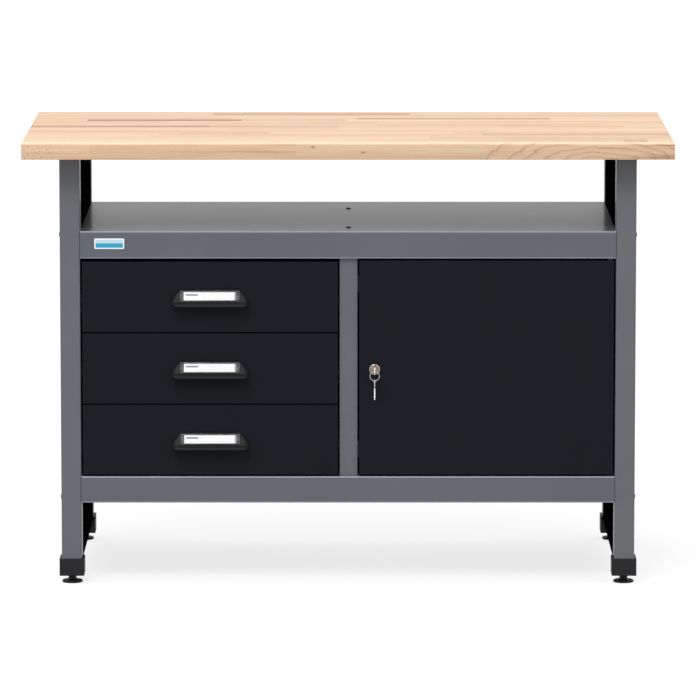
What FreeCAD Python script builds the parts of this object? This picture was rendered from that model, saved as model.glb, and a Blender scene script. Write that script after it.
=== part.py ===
"""Workbench with a beech top, a tool tray, three drawers and a lockable door.

Millimetres. +Z is up, the front faces -Y and the origin is on the floor, under the middle of the
worktop. Each piece of the bench is written to its own STEP file.
"""
import FreeCAD, Part
import math
import os

V = FreeCAD.Vector

# --- worktop -------------------------------------------------------------------------------------
BENCH_H = 830.0          # floor to the top of the worktop
WORKTOP_L = 1200.0
WORKTOP_D = 600.0
WORKTOP_T = 30.0
WORKTOP_ARRIS = 2.5      # rounding of the top edges and corners
WORKTOP_UNDER_ARRIS = 1.0

# --- frame ---------------------------------------------------------------------------------------
FRAME_W = 1066.0         # over the outer faces of the legs
FRAME_SETBACK = 58.0     # worktop front edge to the front face of the legs
FRAME_D = 513.0          # front face of the front legs to rear face of the rear legs
LEG_W = 37.5
LEG_D = 45.0
LEG_WALL = 1.5
LEG_R = 3.0
SHEET = 1.2              # side panels, divider, drawer and door fronts
PANEL_FOOT_Z = 42.0      # lower edge of the side panels
PANEL_FLANGE = 22.0
PLATE = 1.5              # tray and cabinet floor

# --- tray and cabinet floor ----------------------------------------------------------------------
TRAY_DROP = 139.0        # underside of the worktop to the top of the tray
TRAY_REAR_INSET = 26.0   # rear edge of the tray to the rear face of the rear legs
APRON_H = 51.0
FLOOR_RAIL_Z = 152.8     # lower edge of the bottom rail
FLOOR_RAIL_H = 49.5
HEM = 25.0               # flanges turned in under the tray and the floor
RAIL_HEM = 20.0
FOLD_R = 2.0             # outside radius of a folded front edge

# --- divider and back ----------------------------------------------------------------------------
DIVIDER_X = 1.0
DIVIDER_W = 33.0
DIVIDER_RECESS = 8.0     # front of the apron to the front of the divider
NOTCH_GAP = 1.0          # clearance of the apron's hem round the divider
BACK_T = 1.0

# --- fronts --------------------------------------------------------------------------------------
DRAWER_COUNT = 3
SIDE_GAP = 3.0           # leg or divider to the edge of a front
DRAWER_TOP_GAP = 5.9
DOOR_TOP_GAP = 3.8
BOTTOM_GAP = 2.8
DRAWER_GAP = 2.3
FRONT_DEPTH = 18.0
FRONT_LIP = 14.0
FRONT_R = 1.8

# --- drawers -------------------------------------------------------------------------------------
BOX_SHEET = 1.0
BOX_LIFT = 12.0          # lower edge of a front to the bottom of its box
BOX_SHORTER = 31.5       # how much lower a box is than its front
BOX_HEM_H = 8.0
BOX_SCREW_IN = 14.0      # corner of a box to its screws
BOX_REAR_CLEAR = 19.0    # rear of a box to the back panel
SLIDE_W = 12.7
SLIDE_H = 40.0
SLIDE_T = 1.2
SLIDE_GAP = 0.3
SLIDE_RISE = 24.0        # bottom of a box to the lower edge of its rail
SLIDE_OVERLAP = 100.0    # part of the slide still inside its rail when the drawer is fully out
RAIL_FRONT = 1.0         # rear of a drawer front to the front end of its rails
RAIL_REAR = 10.0
LUG_L = 3.0
LUG_H = 12.0
LUG_REACH = 6.0

# --- handles -------------------------------------------------------------------------------------
HANDLE_TOP_W = 110.6
HANDLE_W = 143.8
HANDLE_H = 30.0
HANDLE_LOWER = 1.5       # centre of a handle below the centre of its front
HANDLE_TOP_DEPTH = 3.2
HANDLE_SEAT_DEPTH = 15.0  # how far the label seat stands out at its lower end
HANDLE_DEPTH = 23.0
HANDLE_SEAT_H = 21.5     # height of the sloping label seat
HANDLE_SHOULDER = 11.5   # height of the upright ends above the lower edge
HANDLE_WALL = 2.6
HANDLE_BOSS_X = 43.0
HANDLE_BOSS_DROP = 8.0   # upper edge of a handle to its screws
HANDLE_CORNER = 4.0
HANDLE_BOSS_R = 4.5
HANDLE_CORNER_W = 8.8
HANDLE_CORNER_MID = 0.28  # middle of a corner's curve, as a share of its width and height
HANDLE_END_OUT = 0.52    # middle of a sloping end's curve, as a share of its run outwards
HANDLE_END_DOWN = 0.42   # and of its run downwards
HANDLE_END_LEAN = 0.7    # how far the top of an end draws in for each unit of wall
HANDLE_NOSE_IN = 1.5     # middle of the lip's curve, back from the lip and below the seat
HANDLE_NOSE_DROP = 3.6
HANDLE_CHAMFER_H = 2.5   # bevel under the lip
HANDLE_CHAMFER_D = 1.2
HANDLE_EDGE = 0.3        # thinnest the hollow gets at the top
HANDLE_SCREW_BITE = 4.0
HANDLE_SCREW_PLAY = 0.2
WINDOW_L = 110.0
WINDOW_H = 21.0
WINDOW_T = 1.8
WINDOW_POCKET = 0.45
LABEL_L = 97.0
LABEL_H = 16.5
LABEL_T = 0.3
LABEL_PLAY = 0.5

# --- door ----------------------------------------------------------------------------------------
PIVOT_IN = 7.0           # pivot axis to the hinge edge of the door
PIVOT_BACK = 7.0         # pivot axis to the outer face of the door
PIN_R = 4.0
PIN_PLAY = 0.05
PIN_REACH = 13.0         # length of a pin inside the door
PIN_COLLAR_R = 6.0
PIN_HEAD_R = 5.0
PIN_HEAD_T = 2.5
BUSH_R = 5.5
BUSH_FLANGE_R = 7.0
BUSH_FLANGE_T = 1.0
BUSH_DEPTH = 6.0
REST_GAP = 0.3
LINER_T = 1.0
BUFFER_R = 4.0
BUFFER_T = 1.5
BUFFER_IN = 2.0          # free edge of a stop tab to its buffer
STOP_TAB_H = 30.0
STOP_TAB_W = 13.0
STOP_TAB_INSET = 45.0    # end of the door to the middle of a stop tab

# --- lock and keys -------------------------------------------------------------------------------
LOCK_IN = 28.8           # free edge of the door to the lock axis
LOCK_RISE = -2.2         # lock axis above the middle of the door
ROSETTE_R = 10.0
ROSETTE_T = 2.2
BARREL_R = 9.0
BARREL_L = 22.0
BARREL_GAP = 1.0         # barrel to the liner round it
PLUG_R = 6.0
PLUG_PLAY = 0.05
PLUG_PROUD = 0.6
TAIL = 6.0               # square tail of the plug that carries the cam
CAM_L = 40.0
CAM_W = 14.0
CAM_T = 2.0
CAM_GAP = 0.5
CAM_PLAY = 1.0           # clearance of the cam in the divider's slot
CAM_SCREW_R = 2.0
CAM_SCREW_BITE = 4.0
CAM_SCREW_HEAD_R = 4.8
CAM_SCREW_T = 2.2
NUT_AF = 24.0
NUT_T = 4.0
KEY_T = 2.0
KEY_BLADE_H = 7.0
KEY_BLADE_L = 21.0
KEY_BOW_R = 9.0
KEY_HOLE_R = 2.5
KEY_HOLE_OUT = 4.0       # hole towards the rim of the bow
KEY_JOIN = 1.5           # part of the blade inside the bow
KEY_TIP = (0.2, -0.4)    # upper and lower corner of the blunt tip, as shares of the half height
KEY_CUTS = (0.25, 0.55, 0.25, 0.55, 0.25)  # depth of each cut, as a share of the half height
KEY_CUT_PITCH = 2.625
KEY_CUT_IN = 1.0         # tip to the first cut
KEY_CUT_W = 0.4          # width of each side of a cut, as a share of the pitch
KEYWAY_PLAY = 0.1
KEY_STAND = 3.0          # rosette to the bow of the inserted key
RING_R = 8.75
RING_WIRE_R = 0.75
RING_CLEAR = 0.36

# --- feet ----------------------------------------------------------------------------------------
CAP_Z = 15.5
CAP_H = 31.7
CAP_WALL = 4.2
CAP_FLOOR = 4.0
CAP_R = 3.0
CAP_BOSS_R = 9.0
CAP_BOSS_H = 18.0
PAD_R = 19.0
PAD_T = 4.0
PAD_EDGE = 1.2
STEM_R = 5.0
STEM_PLAY = 0.05
STEM_TOP = 52.0
COLLAR_AF = 13.0
COLLAR_GAP = 0.3

# --- badge and fasteners -------------------------------------------------------------------------
BADGE_L = 55.5
BADGE_H = 19.6
BADGE_T = 0.8
BADGE_R = 2.0
BADGE_IN = 26.5          # leg to the badge
BADGE_DROP = 13.2        # top of the tray to the top of the badge
BOLT_R = 3.0
BOLT_HEAD_R = 5.2
BOLT_HEAD_T = 3.0
BOLT_PROUD = 1.0         # end of a bolt beyond its nut
BOLT_Z_TRAY = 8.0        # tray top to the bolt axis
BOLT_Z_FLOOR = 9.2       # lower edge of the bottom rail to the bolt axis
BOLT_BACK = 20.0         # leg front face to the bolt axis
BOLT_REAR_IN = 8.0       # rear leg front face to the bolt axis
BOLT_HOLE_PLAY = 0.2
SIDE_NUT_AF = 10.0
SIDE_NUT_T = 5.0
SCREW_R = 2.4
SCREW_HEAD_R = 4.6
SCREW_HEAD_T = 2.4
SCREW_L = 9.0
TOP_SCREW_R = 2.2
TOP_SCREW_HEAD_R = 4.2
TOP_SCREW_HEAD_T = 2.4
TOP_SCREW_BITE = 20.0
TRAY_SCREW_FRONT = 61.7  # apron face to the front tray screw
TRAY_SCREW_REAR = 371.4
RIVET_R = 1.6
RIVET_HEAD_R = 3.2
RIVET_HEAD_T = 1.0
RIVET_TAIL_R = 2.2
RIVET_TAIL_L = 3.0
RAIL_RIVET_IN = 40.0     # leg to the rivets of the rails
BACK_RIVET_IN = 50.0     # leg to the outer rivets of the back panel
BACK_RIVET_COLUMNS = 4
DOME = 0.6               # rounding of a domed head, as a share of its height
PAST = 1.0               # how far a cutting tool runs on past the piece

# --- places worked out from the sizes above --------------------------------------------------------
top_under = BENCH_H - WORKTOP_T
leg_front = -WORKTOP_D / 2 + FRAME_SETBACK
leg_rear = leg_front + FRAME_D
leg_out = FRAME_W / 2
leg_in = leg_out - LEG_W
rear_leg_front = leg_rear - LEG_D
tray_top = top_under - TRAY_DROP
tray_rear = leg_rear - TRAY_REAR_INSET
apron_low = tray_top - APRON_H
floor_top = FLOOR_RAIL_Z + FLOOR_RAIL_H
divider_left = DIVIDER_X - DIVIDER_W / 2
divider_right = DIVIDER_X + DIVIDER_W / 2
divider_front = leg_front + DIVIDER_RECESS
front_inner = leg_front + FRONT_DEPTH
drawer_h = (apron_low - floor_top - DRAWER_TOP_GAP - BOTTOM_GAP
            - (DRAWER_COUNT - 1) * DRAWER_GAP) / DRAWER_COUNT
drawer_left = -leg_in + SIDE_GAP
drawer_right = divider_left - SIDE_GAP
box_left = -leg_in + SLIDE_W
box_right = divider_left - SLIDE_W
box_rear = tray_rear - BOX_REAR_CLEAR
box_h = drawer_h - BOX_SHORTER
travel = box_rear - front_inner - SLIDE_OVERLAP
door_left = divider_right + SIDE_GAP
door_right = leg_in - SIDE_GAP
door_low = floor_top + BOTTOM_GAP
door_high = apron_low - DOOR_TOP_GAP
pivot_x = door_right - PIVOT_IN
pivot_y = leg_front + PIVOT_BACK
lock_x = door_left + LOCK_IN
lock_z = (door_low + door_high) / 2 + LOCK_RISE


def block(x0, x1, y0, y1, z0, z1):
    """A box between two values on each axis, in either order."""
    low = V(min(x0, x1), min(y0, y1), min(z0, z1))
    return Part.makeBox(abs(x1 - x0), abs(y1 - y0), abs(z1 - z0), low)


def fuse(shapes):
    """One solid from overlapping or touching shapes."""
    whole = shapes[0].multiFuse(shapes[1:]) if len(shapes) > 1 else shapes[0]
    return whole.removeSplitter()


def cut(shape, tools):
    """The shape less each tool."""
    return shape.cut(tools).removeSplitter() if tools else shape


def rod(x, y, z, radius, length, axis):
    """A cylinder from a point along an axis vector."""
    return Part.makeCylinder(radius, length, V(x, y, z), axis)


def hexagon(x, y, z, across_flats, length, axis):
    """A hexagonal prism from a point along the X, Y or Z axis."""
    radius = across_flats / math.sqrt(3)
    corners = [V(radius * math.cos(math.radians(60 * k)), radius * math.sin(math.radians(60 * k)), 0)
               for k in range(7)]
    prism = Part.Face(Part.makePolygon(corners)).extrude(V(0, 0, length))
    prism.Placement = FreeCAD.Placement(V(x, y, z), FreeCAD.Rotation(V(0, 0, 1), axis))
    return prism


def rounded(shape, radius, pick):
    """Round the straight or curved edges whose middle satisfies a test."""
    edges = [edge for edge in shape.Edges if pick(edge)]
    return shape.makeFillet(radius, edges) if edges else shape


def middle(edge):
    """The point half way along an edge."""
    return edge.valueAt((edge.FirstParameter + edge.LastParameter) / 2)


def runs(edge, axis):
    """Whether an edge is straight along an axis vector."""
    ends = edge.Vertexes
    if len(ends) < 2:
        return False
    run = ends[1].Point - ends[0].Point
    return run.Length > 1e-6 and abs(abs(run.normalize().dot(axis)) - 1) < 1e-6


def near(value, target):
    """Whether two lengths are the same to a hundredth of a millimetre."""
    return abs(value - target) < 0.01


X, Y, Z = V(1, 0, 0), V(0, 1, 0), V(0, 0, 1)


def mirrored(shape, side):
    """The shape itself for side +1, or its mirror image in the YZ plane for side -1."""
    return shape if side > 0 else shape.mirror(V(0, 0, 0), X)


# --- worktop and legs ------------------------------------------------------------------------------

def top_screw_places():
    """The screws that hold the worktop to the side panels' top flanges."""
    x = leg_in + SHEET + PANEL_FLANGE / 2
    y0 = leg_front + LEG_D + PANEL_FLANGE
    y1 = rear_leg_front - PANEL_FLANGE
    return [(side * x, y) for side in (-1, 1) for y in (y0, (y0 + y1) / 2, y1)]


def worktop():
    board = block(-WORKTOP_L / 2, WORKTOP_L / 2, -WORKTOP_D / 2, WORKTOP_D / 2, top_under, BENCH_H)
    board = rounded(board, WORKTOP_ARRIS, lambda e: runs(e, Z) or near(middle(e).z, BENCH_H))
    board = rounded(board, WORKTOP_UNDER_ARRIS, lambda e: near(middle(e).z, top_under))
    pilots = [rod(x, y, top_under - PAST, TOP_SCREW_R, TOP_SCREW_BITE + PAST, Z)
              for x, y in top_screw_places()]
    return cut(board, pilots)


def worktop_screws():
    screws = []
    for x, y in top_screw_places():
        head = rod(x, y, top_under - SHEET - TOP_SCREW_HEAD_T, TOP_SCREW_HEAD_R, TOP_SCREW_HEAD_T, Z)
        shank = rod(x, y, top_under - SHEET - TOP_SCREW_HEAD_T, TOP_SCREW_R,
                    TOP_SCREW_BITE + SHEET + TOP_SCREW_HEAD_T, Z)
        screws.append(fuse([head, shank]))
    return Part.makeCompound(screws)


def bolt_places(side):
    """The bolts through one side's legs, as (y, z), front and rear, at the tray and the floor."""
    heights = (tray_top - BOLT_Z_TRAY, FLOOR_RAIL_Z + BOLT_Z_FLOOR)
    depths = (leg_front + BOLT_BACK, rear_leg_front + BOLT_REAR_IN)
    return [(side, y, z) for y in depths for z in heights]


def bolt_holes(side):
    """Clearance holes for one side's bolts, through the legs and the turned flanges."""
    reach = LEG_W + 4 * PLATE
    return [rod(side * (leg_in - 2 * PLATE), y, z, BOLT_R + BOLT_HOLE_PLAY, reach, X * side)
            for _, y, z in bolt_places(side)]


def leg(side, y0):
    tube = block(side * leg_in, side * leg_out, y0, y0 + LEG_D, CAP_Z + CAP_FLOOR, top_under)
    tube = rounded(tube, LEG_R, lambda e: runs(e, Z))
    core = block(side * (leg_in + LEG_WALL), side * (leg_out - LEG_WALL),
                 y0 + LEG_WALL, y0 + LEG_D - LEG_WALL, 0, BENCH_H)
    core = rounded(core, LEG_R - LEG_WALL, lambda e: runs(e, Z))
    return cut(tube, [core] + bolt_holes(side))


def side_bolts():
    bolts = []
    for side, y, z in bolt_places(-1) + bolt_places(1):
        head = rod(side * leg_out, y, z, BOLT_HEAD_R, BOLT_HEAD_T, X * side)
        head = rounded(head, BOLT_HEAD_T * DOME, lambda e: near(abs(middle(e).x), leg_out + BOLT_HEAD_T))
        length = LEG_W + PLATE + SIDE_NUT_T + BOLT_PROUD
        bolts.append(fuse([head, rod(side * leg_out, y, z, BOLT_R, length, X * -side)]))
    return Part.makeCompound(bolts)


def side_nuts():
    nuts = []
    for side, y, z in bolt_places(-1) + bolt_places(1):
        x = side * (leg_in - PLATE)
        nut = hexagon(x, y, z, SIDE_NUT_AF, SIDE_NUT_T, X * -side)
        nuts.append(cut(nut, [rod(x, y, z, BOLT_R, SIDE_NUT_T, X * -side)]))
    return Part.makeCompound(nuts)


# --- sheet metal shell -----------------------------------------------------------------------------

def side_panel(side):
    """A sheet between the legs of one side, with flanges turned outwards on all four edges."""
    y0 = leg_front + LEG_D
    y1 = rear_leg_front
    x0 = leg_in
    x1 = leg_in + SHEET
    x2 = x1 + PANEL_FLANGE
    parts = [
        block(x0, x1, y0, y1, PANEL_FOOT_Z, top_under),
        block(x0, x2, y0, y0 + SHEET, PANEL_FOOT_Z, top_under),
        block(x0, x2, y1 - SHEET, y1, PANEL_FOOT_Z, top_under),
        block(x0, x2, y0, y1, top_under - SHEET, top_under),
        block(x0, x2, y0, y1, PANEL_FOOT_Z, PANEL_FOOT_Z + SHEET),
    ]
    holes = [rod(abs(x), y, top_under - 2 * SHEET, TOP_SCREW_R, 3 * SHEET, Z)
             for x, y in top_screw_places() if x * side > 0]
    holes += [rod(leg_in - PAST, y, z, RIVET_R, SHEET + 2 * PAST, X)
              for x, y, z, way in rail_rivet_places() if x * side > 0 and near(abs(x), leg_in)]
    return mirrored(cut(fuse(parts), holes), side)


def folded_shelf(z_face, z_edge, hem_at_face):
    """A plate with a front apron and turned flanges, shared by the tray and the cabinet floor.

    z_face is the top of the plate and z_edge the free edge of its apron.
    """
    inner = leg_in - PLATE
    flange = z_face - HEM
    parts = [
        block(-leg_in, leg_in, leg_front, tray_rear, z_face - PLATE, z_face),
        block(-leg_in, leg_in, leg_front, leg_front + PLATE, z_edge, z_face),
        block(-leg_in, leg_in, leg_front, leg_front + hem_at_face, z_edge, z_edge + PLATE),
        block(-leg_in, -inner, leg_front, tray_rear, z_edge, z_face),
        block(inner, leg_in, leg_front, tray_rear, z_edge, z_face),
        block(-leg_in, leg_in, tray_rear - PLATE, tray_rear, flange, z_face),
    ]
    shelf = rounded(fuse(parts), FOLD_R, lambda e: runs(e, X) and near(middle(e).y, leg_front))
    return cut(shelf, bolt_holes(-1) + bolt_holes(1))


def divider_screw_places():
    """The screws through the tray and the floor into the divider, along its middle."""
    return [leg_front + TRAY_SCREW_FRONT, leg_front + TRAY_SCREW_REAR]


def back_rivet_places():
    """The rivets of the back panel, as (x, z), in the rear flanges of tray and floor."""
    reach = leg_in - BACK_RIVET_IN
    columns = [reach * (2 * k / (BACK_RIVET_COLUMNS - 1) - 1) for k in range(BACK_RIVET_COLUMNS)]
    return [(x, z) for x in columns for z in (tray_top - HEM / 2, floor_top - HEM / 2)]


def tray():
    shelf = folded_shelf(tray_top, apron_low, HEM)
    notch = block(divider_left - NOTCH_GAP, divider_right + NOTCH_GAP, divider_front - NOTCH_GAP,
                  leg_front + HEM + PAST, apron_low - PAST, apron_low + 2 * PLATE)
    pin = rod(pivot_x, pivot_y, apron_low - PLATE, PIN_R, 3 * PLATE, Z)
    screws = [rod(DIVIDER_X, y, tray_top - 2 * PLATE, SCREW_R, 3 * PLATE, Z)
              for y in divider_screw_places()]
    rivets = [rod(x, tray_rear - 2 * PLATE, z, RIVET_R, 3 * PLATE, Y)
              for x, z in back_rivet_places() if z > floor_top]
    return cut(shelf, [notch, pin] + screws + rivets)


def cabinet_floor():
    shelf = folded_shelf(floor_top, FLOOR_RAIL_Z, RAIL_HEM)
    pin = rod(pivot_x, pivot_y, floor_top - 2 * PLATE, PIN_R, 3 * PLATE, Z)
    screws = [rod(DIVIDER_X, y, floor_top - 2 * PLATE, SCREW_R, 3 * PLATE, Z)
              for y in divider_screw_places()]
    rivets = [rod(x, tray_rear - 2 * PLATE, z, RIVET_R, 3 * PLATE, Y)
              for x, z in back_rivet_places() if z < floor_top]
    return cut(shelf, [pin] + screws + rivets)


def stop_tab_heights():
    """The middles of the two tabs that the closed door rests on."""
    return (door_low + STOP_TAB_INSET, door_high - STOP_TAB_INSET)


def divider():
    """A hollow post between drawers and door, open at the rear, with a slot for the lock's cam."""
    z0 = floor_top
    z1 = tray_top - PLATE
    rear = tray_rear - PLATE
    inner_left = divider_left + SHEET
    inner_right = divider_right - SHEET
    parts = [
        block(divider_left, divider_right, divider_front, divider_front + SHEET, z0, z1),
        block(divider_left, inner_left, divider_front, rear, z0, z1),
        block(inner_right, divider_right, divider_front, rear, z0, z1),
        block(divider_left, divider_right, divider_front, rear, z0, z0 + SHEET),
        block(divider_left, divider_right, divider_front, rear, z1 - SHEET, z1),
    ]
    tab_front = front_inner + REST_GAP + BUFFER_T
    for z in stop_tab_heights():
        parts.append(block(inner_right, divider_right + STOP_TAB_W, tab_front, tab_front + SHEET,
                           z - STOP_TAB_H / 2, z + STOP_TAB_H / 2))
    post = fuse(parts)
    swing = math.sqrt(max(CAM_L ** 2 - (lock_x - divider_right) ** 2, (CAM_W / 2) ** 2))
    slot = block(inner_right - PAST, divider_right + PAST,
                 cam_front() - CAM_PLAY, cam_front() + CAM_T + CAM_PLAY,
                 lock_z - swing - CAM_PLAY, lock_z + CAM_W / 2 + CAM_PLAY)
    holes = [rod(DIVIDER_X, y, z - PAST, SCREW_R, SHEET + 2 * PAST, Z)
             for y in divider_screw_places() for z in (z0, z1 - SHEET)]
    holes += [rod(divider_left - PAST, y, z, RIVET_R, SHEET + 2 * PAST, X)
              for x, y, z, way in rail_rivet_places() if near(x, divider_left)]
    return cut(post, [slot] + holes)


def divider_screws():
    screws = []
    for y in divider_screw_places():
        for z, way in ((tray_top, 1), (floor_top - PLATE, -1)):
            head = rod(DIVIDER_X, y, z, SCREW_HEAD_R, SCREW_HEAD_T, Z * way)
            head = rounded(head, SCREW_HEAD_T * DOME, lambda e: near(middle(e).z, z + way * SCREW_HEAD_T))
            recess = block(DIVIDER_X - SCREW_HEAD_R / 2, DIVIDER_X + SCREW_HEAD_R / 2,
                           y - SCREW_HEAD_T / 5, y + SCREW_HEAD_T / 5,
                           z + way * SCREW_HEAD_T / 2, z + way * SCREW_HEAD_T)
            shank = rod(DIVIDER_X, y, z, SCREW_R, SCREW_L, Z * -way)
            screws.append(cut(fuse([head, shank]), [recess]))
    return Part.makeCompound(screws)


def back_panel():
    sheet = block(-leg_in, leg_in, tray_rear, tray_rear + BACK_T, FLOOR_RAIL_Z, tray_top)
    return cut(sheet, [rod(x, tray_rear - PAST, z, RIVET_R, BACK_T + 2 * PAST, Y)
                       for x, z in back_rivet_places()])


def rivet(x, y, z, way, grip):
    """A blind rivet whose head stands on (x, y, z), with its tail along the vector way."""
    head = rod(x, y, z, RIVET_HEAD_R, RIVET_HEAD_T, way * -1)
    shank = rod(x, y, z, RIVET_R, grip, way)
    tail_foot = V(x, y, z) + way * grip
    tail = rod(tail_foot.x, tail_foot.y, tail_foot.z, RIVET_TAIL_R, RIVET_TAIL_L, way)
    return fuse([head, shank, tail])


def rail_rivet_places():
    """Two rivets per rail, as (x of the wall, y, z, direction of the wall from the drawer)."""
    depths = (leg_front + LEG_D + RAIL_RIVET_IN, rear_leg_front - RAIL_RIVET_IN)
    places = []
    for number in range(1, DRAWER_COUNT + 1):
        z = rail_z(number)
        places += [(-leg_in, y, z, -1) for y in depths]
        places += [(divider_left, y, z, 1) for y in depths]
    return places


def blind_rivets():
    rivets = [rivet(x, tray_rear + BACK_T, z, Y * -1, BACK_T + PLATE) for x, z in back_rivet_places()]
    for x, y, z, way in rail_rivet_places():
        rivets.append(rivet(x - way * SLIDE_T, y, z, X * way, SLIDE_T + SHEET))
    return Part.makeCompound(rivets)


def badge():
    x0 = -leg_in + BADGE_IN
    z1 = tray_top - BADGE_DROP
    plate = block(x0, x0 + BADGE_L, leg_front - BADGE_T, leg_front, z1 - BADGE_H, z1)
    return rounded(plate, BADGE_R, lambda e: runs(e, Y))


# --- feet ------------------------------------------------------------------------------------------

def foot_places():
    """Names of the four feet with their side and the front face of their leg."""
    return [("front_left", -1, leg_front), ("front_right", 1, leg_front),
            ("rear_left", -1, rear_leg_front), ("rear_right", 1, rear_leg_front)]


def foot_cap(side, y0):
    """A moulded cup over the end of a leg, with a threaded boss for the levelling foot."""
    x_mid = side * (leg_in + LEG_W / 2)
    y_mid = y0 + LEG_D / 2
    cup = block(x_mid - LEG_W / 2 - CAP_WALL, x_mid + LEG_W / 2 + CAP_WALL,
                y0 - CAP_WALL, y0 + LEG_D + CAP_WALL, CAP_Z, CAP_Z + CAP_H)
    cup = rounded(cup, CAP_R, lambda e: runs(e, Z))
    pocket = block(x_mid - LEG_W / 2, x_mid + LEG_W / 2, y0, y0 + LEG_D,
                   CAP_Z + CAP_FLOOR, CAP_Z + CAP_H + PAST)
    pocket = rounded(pocket, LEG_R, lambda e: runs(e, Z))
    boss = rod(x_mid, y_mid, CAP_Z, CAP_BOSS_R, CAP_FLOOR + CAP_BOSS_H, Z)
    bore = rod(x_mid, y_mid, CAP_Z - PAST, STEM_R + STEM_PLAY, CAP_FLOOR + CAP_BOSS_H + 2 * PAST, Z)
    inwards = -1 if y_mid > 0 else 1
    leg_face = y_mid + inwards * LEG_D / 2
    panel_side = block(side * (leg_in - CAP_WALL - PAST), side * (leg_in + SHEET + PANEL_FLANGE),
                       leg_face, leg_face + inwards * (CAP_WALL + PAST),
                       PANEL_FOOT_Z - REST_GAP, CAP_Z + CAP_H + PAST)
    return cut(fuse([cut(cup, [pocket]), boss]), [bore, panel_side])


def levelling_foot(side, y0):
    """A round pad, a hexagonal collar to turn it by and a threaded stem."""
    x_mid = side * (leg_in + LEG_W / 2)
    y_mid = y0 + LEG_D / 2
    pad = rod(x_mid, y_mid, 0, PAD_R, PAD_T, Z)
    pad = rounded(pad, PAD_EDGE, lambda e: near(middle(e).z, PAD_T))
    collar = hexagon(x_mid, y_mid, PAD_T, COLLAR_AF, CAP_Z - COLLAR_GAP - PAD_T, Z)
    stem = rod(x_mid, y_mid, PAD_T, STEM_R, STEM_TOP - PAD_T, Z)
    return fuse([pad, collar, stem])


# --- drawers ---------------------------------------------------------------------------------------

def drawer_low(number):
    """Lower edge of a drawer front, counted from 1 at the top."""
    return floor_top + BOTTOM_GAP + (DRAWER_COUNT - number) * (drawer_h + DRAWER_GAP)


def rail_z(number):
    """Mid height of a drawer's rails."""
    return drawer_low(number) + BOX_LIFT + SLIDE_RISE + SLIDE_H / 2


def folded_front(x0, x1, z0, z1, side_lip):
    """A shallow sheet tray with its mouth to the rear and a lip turned in all round."""
    outer = block(x0, x1, leg_front, front_inner, z0, z1)
    outer = rounded(outer, FRONT_R, lambda e: near(middle(e).y, leg_front) or runs(e, Y))
    inner = block(x0 + SHEET, x1 - SHEET, leg_front + SHEET, front_inner - SHEET, z0 + SHEET, z1 - SHEET)
    mouth = block(x0 + side_lip, x1 - side_lip, leg_front + SHEET, front_inner + PAST,
                  z0 + FRONT_LIP, z1 - FRONT_LIP)
    return cut(outer, [inner, mouth])


def handle_x():
    """Middle of the drawer fronts."""
    return (drawer_left + drawer_right) / 2


def handle_z(number):
    """Mid height of a handle."""
    return drawer_low(number) + drawer_h / 2 - HANDLE_LOWER


def boss_places(number):
    """The two handle screws of a drawer, as (x, z)."""
    z = handle_z(number) + HANDLE_H / 2 - HANDLE_BOSS_DROP
    return [(handle_x() + side * HANDLE_BOSS_X, z) for side in (-1, 1)]


def box_screw_places(number):
    """The four screws that hold a front to its box, as (x, z)."""
    low = drawer_low(number) + BOX_LIFT
    rows = (low + BOX_SCREW_IN, low + box_h - BOX_SCREW_IN)
    return [(x, z) for x in (box_left + BOX_SCREW_IN, box_right - BOX_SCREW_IN) for z in rows]


def drawer_front(number):
    z0 = drawer_low(number)
    side_lip = box_left - drawer_left + 2 * BOX_SCREW_IN
    pan = folded_front(drawer_left, drawer_right, z0, z0 + drawer_h, side_lip)
    holes = [rod(x, leg_front - PAST, z, SCREW_R, SHEET + 2 * PAST, Y) for x, z in boss_places(number)]
    holes += [rod(x, front_inner - SHEET - PAST, z, SCREW_R, SHEET + 2 * PAST, Y)
              for x, z in box_screw_places(number)]
    return cut(pan, holes)


def drawer_box(number):
    """An open box of five welded sheets. The walls have hemmed upper edges."""
    z0 = drawer_low(number) + BOX_LIFT
    z1 = z0 + box_h
    hem = z1 - BOX_HEM_H
    in_left = box_left + BOX_SHEET
    in_right = box_right - BOX_SHEET
    sheets = [block(in_left, in_right, front_inner + BOX_SHEET, box_rear - BOX_SHEET, z0, z0 + BOX_SHEET)]
    for x, way in ((box_left, BOX_SHEET), (box_right, -BOX_SHEET)):
        sheets.append(fuse([block(x, x + way, front_inner, box_rear, z0, z1),
                            block(x, x + 2 * way, front_inner + BOX_SHEET, box_rear - BOX_SHEET, hem, z1)]))
    holes = [rod(x, front_inner - PAST, z, SCREW_R, 3 * BOX_SHEET, Y)
             for x, z in box_screw_places(number)]
    for y, way, drilled in ((front_inner, BOX_SHEET, holes), (box_rear, -BOX_SHEET, [])):
        wall = fuse([block(in_left, in_right, y, y + way, z0, z1),
                     block(in_left + BOX_SHEET, in_right - BOX_SHEET, y, y + 2 * way, hem, z1)])
        sheets.append(cut(wall, drilled))
    return Part.makeCompound(sheets)


def slide_member(number, wall_x, way):
    """The moving channel of a slide; way points from the cabinet wall towards the drawer."""
    z = rail_z(number)
    half = SLIDE_H / 2 - SLIDE_T - SLIDE_GAP
    x_web = wall_x + way * (SLIDE_W - SLIDE_T)
    x_box = wall_x + way * SLIDE_W
    x_tip = wall_x + way * (SLIDE_T + SLIDE_GAP)
    lug_y = front_inner + RAIL_FRONT + LUG_L + travel + REST_GAP
    parts = [
        block(x_web, x_box, front_inner, box_rear, z - half, z + half),
        block(x_tip, x_box, front_inner, box_rear, z - half, z - half + SLIDE_T),
        block(x_tip, x_box, front_inner, box_rear, z + half - SLIDE_T, z + half),
        block(wall_x + way * (LUG_REACH - 2), x_box, lug_y, lug_y + LUG_L, z - LUG_H / 2, z + LUG_H / 2),
    ]
    return fuse(parts)


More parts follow.
